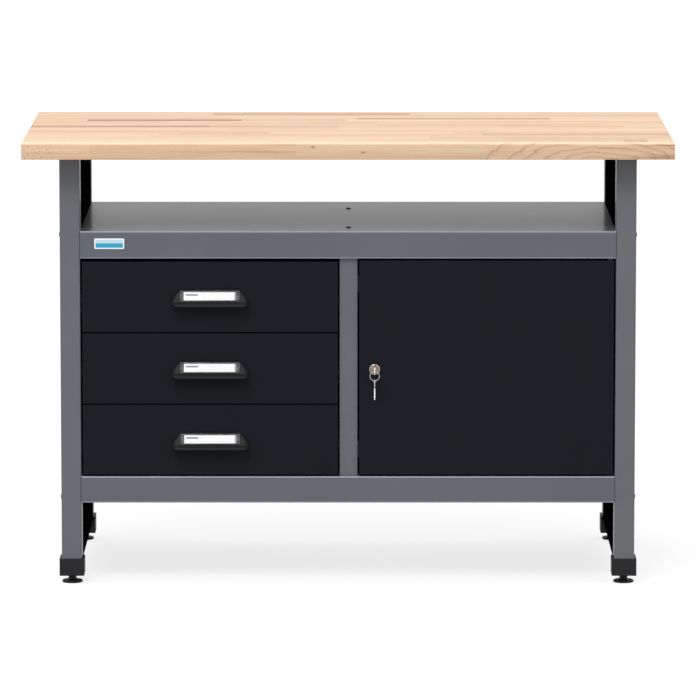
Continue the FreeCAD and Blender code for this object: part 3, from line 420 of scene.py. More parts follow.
@dataclass(frozen=True)
class OiledBeech:
    """Steamed beech staves: growth rings round each stave's pith, fibres, rays and glue lines."""

    name: str = "oiled_beech"
    light: Colour = tint(249, 223, 188)
    warm: Colour = tint(247, 201, 161)
    dark: Colour = tint(164, 119, 88)
    ring: Colour = tint(168, 106, 74)
    fleck: Colour = tint(112, 72, 50)
    ring_pitch: float = 4.5 * MM
    cathedral_pitch: float = 8.5 * MM
    taper: float = 0.25
    glue: float = 0.3 * MM
    pin_knots: tuple[Point, ...] = ((-0.0646, -0.300, 0.8232), (0.0278, -0.300, 0.8133))
    knot_size: Pair = (2.6 * MM, 1.3 * MM)
    pitted_end: float = -0.540
    pitted_top: float = 0.826

    def make(self, stave_width: float, front: float) -> Material:
        """The material.

        Args:
            stave_width: The width of each row of staves.
            front: The front edge of the board.

        Returns:
            The finished material.
        """
        shader = Shader(self.name)
        place = shader.place()
        facts = shader.node("ShaderNodeAttribute", {"attribute_name": "stave"}, output="Vector")
        tone, figure, seed = shader.split(facts)
        chance = shader.node("ShaderNodeTexWhiteNoise", {"noise_dimensions": "1D"}, {"W": seed},
                             "Color")
        first, second, _ = shader.split(chance)
        heart_x, heart_y, heart_z = shader.split(
            shader.node("ShaderNodeAttribute", {"attribute_name": "heart"}, output="Vector"))
        own = shader.shifted(place, shader.joined(seed * 3.7, seed * 1.9, seed * 2.3))
        x, y, z = shader.split(place)

        # Growth rings: distance from the stave's heart, drawn out along the stave.
        off_x = (x - heart_x) * figure * figure * self.taper
        off_y = y - heart_y
        off_z = z - heart_z
        wander = shader.noise(own, (16.0, 34.0, 34.0), 3.0, 0.55)
        drift = shader.noise(own, (3.0, 9.0, 9.0), 1.0)
        radius = (off_x * off_x + off_y * off_y + off_z * off_z) ** 0.5
        radius = radius + (wander - 0.5) * (0.004 + figure * 0.013) + (drift - 0.5) * 0.016
        pitch = self.ring_pitch + figure * (self.cathedral_pitch - self.ring_pitch)
        phase = shader.node("ShaderNodeMath", {"operation": "FRACT"}, {0: radius / pitch + first})
        rings = phase ** 5.0 * (1.0 - shader.between(phase, 0.92, 1.0))

        # Fibres run along the stave; rays are short dashes, and dots where the grain is cut across.
        fibre = shader.noise(own, (9.0, 420.0, 420.0), 4.0, 0.65)
        band = shader.noise(own, (1.6, 55.0, 55.0), 3.0)
        streak = shader.noise(own, (2.4, 110.0, 110.0), 3.0)
        rays = shader.between(shader.noise(own, (210.0, 1500.0, 1100.0), 0.0),
                              0.68, 0.80)
        pits = shader.between(shader.noise(place, 360.0, 1.0), 0.57, 0.66)
        pits = pits * (1.0 - (x > self.pitted_end)) * (1.0 - (z > self.pitted_top))

        warmth = second * 0.4 + shader.between(band, 0.3, 0.75) * 0.5
        wood = shader.mix(warmth, self.light, self.warm)
        shade = shader.between(streak, 0.52, 0.72) * (0.16 + figure * 0.8)
        wood = shader.mix(shade, wood, self.dark)
        wood = shader.mix(tone, wood, self.dark)
        wood = shader.mix(rings * (0.12 + figure * 0.60), wood, self.ring)
        wood = shader.mix(shader.between(fibre, 0.42, 0.8) * 0.30, wood, self.dark)
        wood = shader.mix(rays * 0.18 + pits * 0.50, wood, self.fleck)
        for knot in self.pin_knots:
            wood = shader.mix(self.knot(shader, place, knot, 3.0) * 0.35, wood, self.dark)
            wood = shader.mix(self.knot(shader, place, knot, 1.0) * 0.85, wood, self.fleck)

        # Glue lines between the rows.
        across = shader.node("ShaderNodeMath", {"operation": "PINGPONG"},
                             {0: y - front, 1: stave_width / 2})
        seam = 1.0 - shader.between(across, 0.0, self.glue)
        wood = shader.mix(seam * 0.25, wood, self.fleck)

        # The edges are mixed towards a pale tone as a painted highlight along the arrises.
        edges, soft = shader.worn(0.6 * MM)
        relief = fibre * 0.7 + (1.0 - rays) * 0.3 - seam * 0.4
        return shader.finish(
            Base_Color=shader.mix(edges * 0.35, wood, tint(240, 214, 186)),
            Roughness=0.50 + (fibre - 0.5) * 0.16 + rays * 0.1 - rings * 0.04,
            Specular_IOR_Level=0.5,
            Normal=shader.bump(relief, 0.05 * MM, soft))

    def knot(self, shader: Shader, place: Link, centre: Point, spread: float) -> Link:
        """A mask of a pin knot that spreads to a multiple of the knot's size."""
        away = shader.node("ShaderNodeVectorMath", {"operation": "SUBTRACT"}, {0: place, 1: centre})
        long, tall = self.knot_size
        shape = shader.stretched(away, (1.0 / long, 1.0 / (3.0 * long), 1.0 / tall))
        reach = shader.node("ShaderNodeVectorMath", {"operation": "LENGTH"}, {0: shape}, "Value")
        return 1.0 - shader.between(reach, 0.4 * spread, spread)


@dataclass(frozen=True)
class ClearCover:
    """Clear styrene, faintly grey, with fine handling scratches."""

    name: str = "clear_cover"
    colour: Colour = tint(64, 66, 70)
    see_through: float = 0.95

    def make(self) -> Material:
        """The material."""
        shader = Shader(self.name)
        place = shader.place()
        haze = shader.noise(place, 260.0, 3.0)
        hairs = shader.noise(place, (60.0, 3200.0, 1400.0), 1.0)
        edges, soft = shader.worn(0.3 * MM)
        film = shader.mix(shader.between(haze, 0.4, 0.7), self.colour, tint(92, 94, 98))
        return shader.finish(
            Base_Color=film,
            Roughness=0.14 + shader.between(hairs, 0.6, 0.8) * 0.15 + (haze - 0.5) * 0.06,
            Alpha=(1.0 - self.see_through) + edges * 0.6 + shader.between(haze, 0.55, 0.8) * 0.03,
            Specular_IOR_Level=0.5,
            Normal=shader.bump(hairs, 0.0008 * MM, soft))


@dataclass(frozen=True)
class RuledCard:
    """White card with a plain ruled line and a plain short bar."""

    name: str = "ruled_card"
    paper: Colour = tint(254, 254, 254)
    ink: Colour = tint(70, 112, 142)

    def make(self) -> Material:
        """The material."""
        shader = Shader(self.name)
        across, _, up = shader.split(shader.place("Generated"))
        fibres = shader.noise(shader.place(), 700.0, 4.0, 0.7)
        rule = (up > 0.24) * (1.0 - (up > 0.27)) * (across > 0.05) * (1.0 - (across > 0.95))
        bar = (up > 0.56) * (1.0 - (up > 0.76)) * (across > 0.04) * (1.0 - (across > 0.27))
        sheet = shader.mix(fibres * 0.06, self.paper, tint(226, 224, 218))
        return shader.finish(
            Base_Color=shader.mix(rule * 0.10 + bar * 0.85, sheet, self.ink),
            Roughness=0.72 + (fibres - 0.5) * 0.2,
            Normal=shader.bump(fibres, 0.01 * MM))


@dataclass(frozen=True)
class PrintedPlate:
    """A white film plate with a plain pale field above a plain blue band."""

    name: str = "printed_plate"
    white: Colour = tint(244, 247, 248)
    pale: Colour = tint(196, 222, 233)
    blue: Colour = tint(24, 160, 202)

    def make(self) -> Material:
        """The material."""
        shader = Shader(self.name)
        across, _, up = shader.split(shader.place("Generated"))
        inside = (across > 0.045) * (1.0 - (across > 0.955)) * (up > 0.12) * (1.0 - (up > 0.88))
        band = 1.0 - (up > 0.54)
        worn = shader.noise(shader.place(), 300.0, 4.0, 0.7)
        edges, soft = shader.worn(0.25 * MM)
        field_colour = shader.mix(band, self.pale, self.blue)
        print_colour = shader.mix(inside, self.white, field_colour)
        return shader.finish(
            Base_Color=shader.mix(shader.between(worn, 0.6, 0.8) * 0.12, print_colour, self.white),
            Roughness=0.32 + (worn - 0.5) * 0.16 + edges * 0.1,
            Normal=shader.bump(worn, 0.006 * MM, soft))


@dataclass(frozen=True)
class StudioFloor:
    """A plain matt white floor."""

    name: str = "studio_floor"
    colour: Colour = (0.3, 0.3, 0.3)
    glow: float = 0.75

    def make(self) -> Material:
        """The material."""
        shader = Shader(self.name)
        grain = shader.noise(shader.place(), 0.4, 2.0)
        shade = shader.mix(grain * 0.1, self.colour, (0.28, 0.28, 0.28))
        return shader.finish(Base_Color=shade, Roughness=0.9, Specular_IOR_Level=0.0,
                             Emission_Color=(1.0, 1.0, 1.0), Emission_Strength=self.glow)


class Finishes:
    """Every material of the bench, made once."""

    stop_tab: float = 13.0 * MM

    def __init__(self) -> None:
        """Make the materials."""
        grey = PowderCoat("grey_coat", tint(97, 100, 105), 0.5, 0.3, 0.24)
        self.grey = grey.make()
        # The divider's door stop tabs are painted near-black as painted shade in the gap beside the
        # door.
        post_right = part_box("divider")[1].x - self.stop_tab
        self.post = replace(grey, name="grey_coat_post").make(gap_shade_beyond=post_right + 0.3 * MM)
        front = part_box("tray")[0].y
        tray_low, tray_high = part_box("tray")[0].z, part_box("tray")[1].z
        rail_low, rail_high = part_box("cabinet_floor")[0].z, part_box("cabinet_floor")[1].z
        # The tray and the cabinet floor get painted highlight lines along their front folds.
        fold_highlighted = replace(grey, name="grey_coat_folded", colour=tint(91, 95, 102), skin=0.3)
        self.fold_highlighted = fold_highlighted.make(
            [(front, tray_high), (front, tray_low), (front, rail_high), (front, rail_low)])
        # The fronts' paler edges are partly edge wear and partly a painted highlight.
        self.charcoal = PowderCoat("charcoal_coat", tint(26, 28, 33), 0.55, 0.05, edge=0.5,
                                   fold=0.6 * MM).make()
        self.black = PowderCoat("black_coat", tint(9, 10, 13), 0.95, 0.0, edge=0.1,
                                fold=0.6 * MM).make()
        self.shell = PowderCoat("shell_coat", tint(44, 46, 50), 0.45, 0.3, fold=0.6 * MM).make()
        self.grip = MouldedPlastic("grip_plastic", tint(33, 33, 34), 0.45, 0.12).make()
        self.foot = MouldedPlastic("foot_plastic", tint(38, 38, 40), 0.5, 0.14).make()
        self.bush = MouldedPlastic("bush_plastic", tint(26, 26, 27), 0.5, 0.2).make()
        self.rubber = MouldedPlastic("buffer_rubber", tint(22, 22, 23), 0.75, 0.15).make()
        self.zinc = PlatedMetal("zinc_plate", tint(172, 174, 176), 0.32).make()
        # A dark colour for the tray screws' flanks, as painted shade.
        self.screw_flank_shade = PlatedMetal("screw_flank_painted_shade", tint(46, 47, 50), 0.24).make()
        # Dark grey for the leg bolts; it is also painted as shade into the lock rosette's hollow.
        self.painted = PlatedMetal("dark_bolt_and_groove_shade", tint(84, 87, 92), 0.4).make()
        self.chrome = PlatedMetal("lock_chrome", tint(212, 211, 209), 0.2).make()
        self.brass = PlatedMetal("lock_brass", tint(172, 140, 106), 0.3).make()
        self.nickel = PlatedMetal("key_nickel", tint(228, 222, 210), 0.2).make()
        self.wire = PlatedMetal("ring_wire", tint(168, 168, 172), 0.24).make()
        self.spare = KeyMetal().make()
        # A dark colour for rails, slides and hinge pins: painted shade in the narrow gaps round the
        # drawer fronts.
        self.strip = PowderCoat("strip_coat_gap_shade", tint(34, 35, 37), 0.45, 0.2, fold=0.4 * MM).make()
        self.cover = ClearCover().make()
        self.rim = ClearCover("clear_cover_rim", tint(120, 122, 126), 0.38).make()
        self.card = RuledCard().make()
        self.plate = PrintedPlate().make()


# --- mesh making ---

class Outline(Enum):
    """The outline of a ring in a turned piece."""

    ROUND = "round"
    HEXAGON = "hexagon"
    CROSS = "cross"

    def reach(self, turn: float, radius: float) -> float:
        """The distance from the axis to the outline.

        Args:
            turn: The direction from the axis, in radians.
            radius: The radius to the outline's corners or arm ends.

        Returns:
            The distance in that direction.
        """
        if self is Outline.HEXAGON:
            sixth = math.pi / 3.0
            return radius * math.cos(sixth / 2.0) / math.cos(turn % sixth - sixth / 2.0)
        if self is Outline.CROSS:
            run, rise = abs(math.cos(turn)), abs(math.sin(turn))
            arm = 0.28 * radius
            flat = min(radius / max(run, 1e-6), arm / max(rise, 1e-6))
            upright = min(radius / max(rise, 1e-6), arm / max(run, 1e-6))
            return max(flat, upright)
        return radius


@dataclass(frozen=True)
class Ring:
    """One ring of a turned piece: its radius, its place along the axis and its outline."""

    radius: float
    along: float
    outline: Outline = Outline.ROUND


class Maker:
    """Builds meshes and hands finished pieces over to the frame."""

    segments: int = 48

    @staticmethod
    def frame_of(place: Point, axis: Point) -> Matrix:
        """A matrix that stands local +Z along an axis at a place."""
        turn = Vector(axis).to_track_quat("Z", "Y").to_matrix().to_4x4()
        return Matrix.Translation(place) @ turn

    def turned(self, mesh: BMesh, rings: Sequence[Ring], stand: Matrix) -> None:
        """Add a closed turned solid.

        Args:
            mesh: The mesh to add to.
            rings: Its rings in order; a first and last radius of 0 close it.
            stand: Where local +Z is the axis.
        """
        loops = []
        for ring in rings:
            if ring.radius == 0.0:
                loops.append([mesh.verts.new(stand @ Vector((0.0, 0.0, ring.along)))])
                continue
            loop = []
            for step in range(self.segments):
                turn = FULL_TURN * step / self.segments
                reach = ring.outline.reach(turn, ring.radius)
                loop.append(mesh.verts.new(stand @ Vector(
                    (reach * math.cos(turn), reach * math.sin(turn), ring.along))))
            loops.append(loop)
        for low, high in zip(loops, loops[1:]):
            for step in range(self.segments):
                after = (step + 1) % self.segments
                if len(low) == 1:
                    mesh.faces.new((low[0], high[after], high[step]))
                elif len(high) == 1:
                    mesh.faces.new((low[step], low[after], high[0]))
                else:
                    mesh.faces.new((low[step], low[after], high[after], high[step]))

    @staticmethod
    def thread(radius: float, depth: float, start: float, end: float, pitch: float) -> list[Ring]:
        """Rings of a screw thread.

        Args:
            radius: The outer radius.
            depth: The depth of the thread.
            start: Where the thread starts along the axis.
            end: Where it ends.
            pitch: The distance between two crests.

        Returns:
            The rings, from start to end.
        """
        turns = max(1, round(abs(end - start) / pitch))
        step = (end - start) / turns
        rings = []
        for turn in range(turns):
            rings.append(Ring(radius - depth, start + step * (turn + 0.1)))
            rings.append(Ring(radius, start + step * (turn + 0.45)))
            rings.append(Ring(radius, start + step * (turn + 0.6)))
            rings.append(Ring(radius - depth, start + step * (turn + 0.95)))
        return rings

    @staticmethod
    def slab(mesh: BMesh, size: Point, stand: Matrix, corner: float, edge: float,
             slot: int = 0) -> None:
        """Add a rounded slab, centred on the local origin, from local z 0 up.

        Args:
            mesh: The mesh to add to.
            size: Its width, height and thickness.
            stand: Where local +Z is the thickness.
            corner: The radius of its upright corners.
            edge: The rounding of its upper edge.
            slot: Its material slot.
        """
        width, height, thick = size
        steps = 5
        outlines = []
        layers = ((0.0, 0.0), (0.0, thick - edge), (edge * 0.3, thick - edge * 0.3), (edge, thick))
        for inset, level in layers:
            loop = []
            radius = max(corner - inset, 0.05 * MM)
            for sx, sy, start in ((1, 1, 0.0), (-1, 1, 0.25), (-1, -1, 0.5), (1, -1, 0.75)):
                x = sx * (width / 2 - inset - radius)
                y = sy * (height / 2 - inset - radius)
                for step in range(steps):
                    turn = FULL_TURN * (start + 0.25 * step / (steps - 1))
                    place = (x + radius * math.cos(turn), y + radius * math.sin(turn), level)
                    loop.append(mesh.verts.new(stand @ Vector(place)))
            outlines.append(loop)
        count = len(outlines[0])
        faces = [mesh.faces.new(reversed(outlines[0])), mesh.faces.new(outlines[-1])]
        for low, high in zip(outlines, outlines[1:]):
            for step in range(count):
                after = (step + 1) % count
                faces.append(mesh.faces.new((low[step], low[after], high[after], high[step])))
        for face in faces:
            face.material_index = slot

    def piece(self, name: str, mesh: BMesh, finish: Material, body: str,
              slot: str, stands_for: Sequence[str] = (), crease: float = 32.0) -> Object:
        """Turn a mesh into a piece of the bench.

        Args:
            name: The piece's name.
            mesh: Its mesh, which is used up.
            finish: Its material.
            body: The body that it rides on.
            slot: The record's slot for its finish; not used.
            stands_for: The CAD nodes that it replaces.
            crease: The angle over which an edge stays sharp, in degrees.

        Returns:
            The piece.
        """
        bmesh.ops.recalc_face_normals(mesh, faces=mesh.faces)
        data = bpy.data.meshes.new(name)
        mesh.to_mesh(data)
        mesh.free()
        for face in data.polygons:
            face.use_smooth = True
        data.set_sharp_from_angle(angle=math.radians(crease))
        data.materials.append(finish)
        made = bpy.data.objects.new(name, data)
        bpy.context.scene.collection.objects.link(made)
        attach(made, body)
        if stands_for:
            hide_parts(*stands_for)
        log.info("%s rides on %s: %d faces", name, body, len(data.polygons))
        return made

    @staticmethod
    def dress(finish: Material, *nodes: str) -> None:
        """Give the named CAD nodes a material."""
        for node in nodes:
            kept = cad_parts[node]
            for place in kept.material_slots:
                place.material = finish
            if not kept.material_slots:
                kept.data.materials.append(finish)
            log.info("%s keeps its shape and takes %s", node, finish.name)


# --- worktop ---

class Figure(Enum):
    """How strongly the growth rings of a stave show."""

    QUIET = 0.06
    STREAKED = 0.3
    CATHEDRAL = 1.0


@dataclass(frozen=True)
class Stave:
    """One stave of the board: its row from the front, its ends, darkness, figure and heart."""

    row: int
    start: float
    end: float
    tone: float
    figure: Figure = Figure.QUIET
    heart: Point | None = None


@dataclass
class BenchTop:
    """The edge-glued beech board."""

    make: Maker
    finish: OiledBeech = OiledBeech()
    rows: int = 20
    arris: float = 2.5 * MM
    under_arris: float = 1.0 * MM
    shortest: float = 0.20
    longest: float = 0.55
    seed: int = 12
    chosen: tuple[Stave, ...] = (
        Stave(0, -0.600, -0.474, 0.0, Figure.QUIET, (-0.50, -0.290, 0.760)),
        Stave(0, -0.474, -0.086, 0.04, Figure.STREAKED, (-0.15, -0.292, 0.776)),
        Stave(0, -0.086, 0.254, 0.07, Figure.QUIET, (0.10, -0.270, 0.760)),
        Stave(0, 0.254, 0.600, 0.06, Figure.CATHEDRAL, (0.462, -0.302, 0.7985)),
        Stave(1, 0.508, 0.551, 0.70),
        Stave(2, 0.280, 0.556, 0.50),
        Stave(5, 0.250, 0.600, 0.65),
        Stave(6, -0.314, -0.146, 0.55),
        Stave(10, -0.600, -0.261, 0.90),
        Stave(10, -0.261, -0.016, 0.60),
        Stave(10, 0.286, 0.522, 0.50),
        Stave(14, -0.497, -0.203, 1.00),
        Stave(15, 0.017, 0.386, 0.80),
        Stave(18, -0.260, 0.119, 0.80),
    )

    def staves(self, low: float, high: float) -> list[list[Stave]]:
        """Every stave, row by row, with the gaps between the chosen ones filled.

        Args:
            low: The left end of the board.
            high: The right end of the board.

        Returns:
            The staves of each row from left to right.
        """
        dice = random.Random(self.seed)
        rows = []
        for row in range(self.rows):
            fixed = sorted((s for s in self.chosen if s.row == row), key=lambda s: s.start)
            line = []
            edge = low
            for stop in fixed + [None]:
                goal = stop.start if stop else high
                while goal - edge > 1e-4:
                    length = dice.uniform(self.shortest, self.longest)
                    end = goal if goal - edge - length < self.shortest / 2 else edge + length
                    line.append(Stave(row, edge, end, max(0.08, dice.gauss(0.38, 0.09))))
                    edge = end
                if stop:
                    line.append(stop)
                    edge = stop.end
            rows.append(line)
        return rows

    def build(self) -> None:
        """Build the board and dress it."""
        low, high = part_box("worktop")
        rows = self.staves(low.x, high.x)
        width = (high.y - low.y) / self.rows
        cuts = {round(s.end, 6) for line in rows for s in line} | {round(low.x, 6)}
        xs = []
        for cut in sorted(cuts):
            if not xs or cut - xs[-1] > 4 * self.arris:
                xs.append(cut)
        xs[-1] = high.x
        ys = [low.y + width * row for row in range(self.rows + 1)]
        mesh = bmesh.new()
        top = [[mesh.verts.new((x, y, high.z)) for y in ys] for x in xs]
        under = [[mesh.verts.new((x, y, low.z)) for y in ys] for x in xs]
        for i in range(len(xs) - 1):
            for j in range(len(ys) - 1):
                mesh.faces.new((top[i][j], top[i + 1][j], top[i + 1][j + 1], top[i][j + 1]))
                mesh.faces.new((under[i][j + 1], under[i + 1][j + 1], under[i + 1][j], under[i][j]))
            for j in (0, len(ys) - 1):
                mesh.faces.new((top[i][j], under[i][j], under[i + 1][j], top[i + 1][j]))
        for i in (0, len(xs) - 1):
            for j in range(len(ys) - 1):
                mesh.faces.new((top[i][j], top[i][j + 1], under[i][j + 1], under[i][j]))
        bmesh.ops.recalc_face_normals(mesh, faces=mesh.faces)
        self.round_edges(mesh, high.z, self.arris, True)
        self.round_edges(mesh, low.z, self.under_arris, False)
        facts = mesh.faces.layers.float_vector.new("stave")
        hearts = mesh.faces.layers.float_vector.new("heart")
        for face in mesh.faces:
            middle = face.calc_center_median()
            row = min(self.rows - 1, max(0, int((middle.y - low.y) / width)))
            found = next((s for s in rows[row] if s.start <= middle.x <= s.end), rows[row][-1])
            number = row * 17.0 + rows[row].index(found) * 3.0
            face[facts] = (found.tone, found.figure.value, number + 1.0)
            dice = random.Random(number)
            face[hearts] = found.heart or (dice.uniform(found.start, found.end),
                                           low.y + width * (row + dice.uniform(-1.5, 2.5)),
                                           dice.uniform(0.70, 0.78))
        self.make.piece("worktop_board", mesh, self.finish.make(width, low.y), "frame", "beech",
                        ["worktop"], 40.0)

    @staticmethod
    def round_edges(mesh: BMesh, level: float, radius: float, corners: bool) -> None:
        """Round the outer edges of the board at a height.

        Args:
            mesh: The board.
            level: The height of the edges.
            radius: The radius.
            corners: Whether the upright corner edges are rounded too.
        """
        def sharp(edge: BMEdge) -> bool:
            """Whether two faces of the board meet here at a right angle."""
            return len(edge.link_faces) == 2 and edge.calc_face_angle() > 1.0

        picked = [e for e in mesh.edges if sharp(e)
                  and all(abs(v.co.z - level) < 1e-6 for v in e.verts)]
        if corners:
            picked += [e for e in mesh.edges if sharp(e)
                       and abs(e.verts[0].co.z - e.verts[1].co.z) > 0.01]
        bmesh.ops.bevel(mesh, geom=picked, offset=radius, segments=4, profile=0.5,
                        affect="EDGES", clamp_overlap=False)


# --- steelwork ---

@dataclass
class Steelwork:
    """Legs, tray, cabinet and their fasteners."""

    make: Maker
    finishes: Finishes
    thread_depth: float = 0.35 * MM
    pitch: float = 1.0 * MM
    dome: tuple[Pair, ...] = (
        (1.0, 0.0), (1.0, 0.30), (0.95, 0.45), (0.84, 0.55), (0.76, 0.80), (0.60, 1.0))
    recess_share: float = 0.34
    sheet: float = 1.5 * MM
    bolt_head: Pair = (5.2 * MM, 2.0 * MM)
    bolt_radius: float = 3.0 * MM
    bolt_end: float = 45.5 * MM
    bolt_heights: Pair = (0.653, 0.162)
    bolt_depths: Pair = (-0.222, 0.234)
    screw_head: Pair = (4.6 * MM, 2.4 * MM)
    lit_top_from: float = 0.5
    screw_radius: float = 2.4 * MM
    screw_length: float = 9.0 * MM
    screw_depths: Pair = (-0.1803, 0.1294)
    screw_x: float = 1.0 * MM

    def build(self) -> None:
        """Dress the sheet metal and build its fasteners."""
        ends = ("front_left", "front_right", "rear_left", "rear_right")
        self.make.dress(self.finishes.grey, *("leg_" + end for end in ends))
        self.make.dress(self.finishes.post, "divider")
        self.make.dress(self.finishes.fold_highlighted, "tray", "cabinet_floor")
        self.make.dress(self.finishes.black, "side_panel_left", "side_panel_right", "back_panel")
        # The rails and hinge pins take the dark strip colour as painted shade in the gaps.
        self.make.dress(self.finishes.strip, "drawer_rails", "hinge_pins")
        self.make.dress(self.finishes.zinc, "worktop_screws", "blind_rivets", "side_nuts")
        self.make.dress(self.finishes.rubber, "door_buffers")
        self.make.dress(self.finishes.plate, "badge")
        self.build_bolts()
        self.build_tray_screws()

    def headed(self, mesh: BMesh, stand: Matrix, head: Pair, shank: Pair,
               recess: Outline) -> None:
        """Add a screw with a domed, recessed head that sits on the local origin.

        Args:
            mesh: The mesh to add to.
            stand: Where local +Z points out of the head.
            head: The radius and height of the head.
            shank: The radius and length of the shank.
            recess: The outline of the recess.
        """
        radius, height = head
        reach = radius * self.recess_share
        thick, long = shank
        rings = [Ring(0.0, -long), Ring(thick * 0.7, -long),
                 *self.make.thread(thick, self.thread_depth, 0.5 * MM - long, 0.0, self.pitch),
                 Ring(thick, 0.0),
                 *(Ring(radius * share, height * rise) for share, rise in self.dome),
                 Ring(reach, height, recess),
                 Ring(reach * 0.9, height * 0.35, recess), Ring(0.0, height * 0.25)]
        self.make.turned(mesh, rings, stand)

    def build_bolts(self) -> None:
        """Bolts through the legs, two high and two low on each side."""
        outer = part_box("leg_front_right")[1].x
        mesh = bmesh.new()
        for side in (-1.0, 1.0):
            for depth in self.bolt_depths:
                for height in self.bolt_heights:
                    stand = self.make.frame_of((side * outer, depth, height), (side, 0.0, 0.0))
                    self.headed(mesh, stand, self.bolt_head, (self.bolt_radius, self.bolt_end),
                                Outline.HEXAGON)
        self.make.piece("leg_bolts", mesh, self.finishes.painted, "frame", "painted_bolts",
                        ["side_bolts"])

    def build_tray_screws(self) -> None:
        """Screws through the tray and the cabinet floor into the divider."""
        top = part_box("tray")[1].z
        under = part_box("cabinet_floor")[1].z - self.sheet
        mesh = bmesh.new()
        for depth in self.screw_depths:
            for level, way in ((top, 1.0), (under, -1.0)):
                stand = self.make.frame_of((self.screw_x, depth, level), (0.0, 0.0, way))
                self.headed(mesh, stand, self.screw_head, (self.screw_radius, self.screw_length),
                            Outline.CROSS)
        # Each head is split: the upper part in bright zinc as a painted highlight, the flank below
        # in the dark colour as painted shade.
        for face in mesh.faces:
            middle = face.calc_center_median()
            rise = max(middle.z - top, under - middle.z)
            face.material_index = int(rise > self.screw_head[1] * self.lit_top_from)
        made = self.make.piece("tray_screws", mesh, self.finishes.screw_flank_shade, "frame", "blacked_screws",
                               ["divider_screws"])
        made.data.materials.append(self.finishes.zinc)


@dataclass
class Feet:
    """Moulded cups on the legs and the levelling feet under them."""

    make: Maker
    finishes: Finishes
    pad: float = 19.0 * MM
    hollow: float = 0.6 * MM
    disc: tuple[Pair, ...] = (
        (4.0, 0.6), (3.4, 0.0), (0.5, 0.0), (0.0, 0.5), (0.0, 2.6), (0.35, 3.4), (1.2, 4.0),
        (2.6, 4.0), (3.2, 3.4))
    seat: tuple[Pair, ...] = ((3.0, 3.4), (1.6, 4.0))
    nut: tuple[Pair, ...] = ((0.93, 4.0), (1.0, 4.6), (1.0, 14.5), (0.9, 15.2))
    collar: float = 13.0 / math.sqrt(3.0) * MM
    collar_top: float = 15.2 * MM
    stem: float = 5.0 * MM
    stem_top: float = 52.0 * MM
    thread_depth: float = 0.6 * MM
    pitch: float = 1.5 * MM

    def build(self) -> None:
        """Dress the cups and build the levelling feet."""
        for end in ("front_left", "front_right", "rear_left", "rear_right"):
            self.make.dress(self.finishes.foot, "foot_cap_" + end)
            self.build_foot(end)

    def build_foot(self, end: str) -> None:
        """Build the levelling foot under the leg at an end of the bench."""
        low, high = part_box("levelling_foot_" + end)
        centre = (low + high) / 2
        rings = [Ring(0.0, self.hollow),
                 *(Ring(self.pad - inset * MM, height * MM) for inset, height in self.disc),
                 *(Ring(self.collar + out * MM, height * MM) for out, height in self.seat),
                 *(Ring(self.collar * share, height * MM, Outline.HEXAGON)
                   for share, height in self.nut),
                 Ring(self.stem, self.collar_top),
                 *self.make.thread(self.stem, self.thread_depth, self.collar_top + 0.2 * MM,
                                   self.stem_top - 1.2 * MM, self.pitch),
                 Ring(self.stem - 1.0 * MM, self.stem_top), Ring(0.0, self.stem_top)]
        mesh = bmesh.new()
        self.make.turned(mesh, rings, Matrix.Translation((centre.x, centre.y, 0.0)))
        self.make.piece("levelling_pad_" + end, mesh, self.finishes.foot, "levelling_foot_" + end,
                        "foot_plastic", ["levelling_foot_" + end])


# --- drawers ---

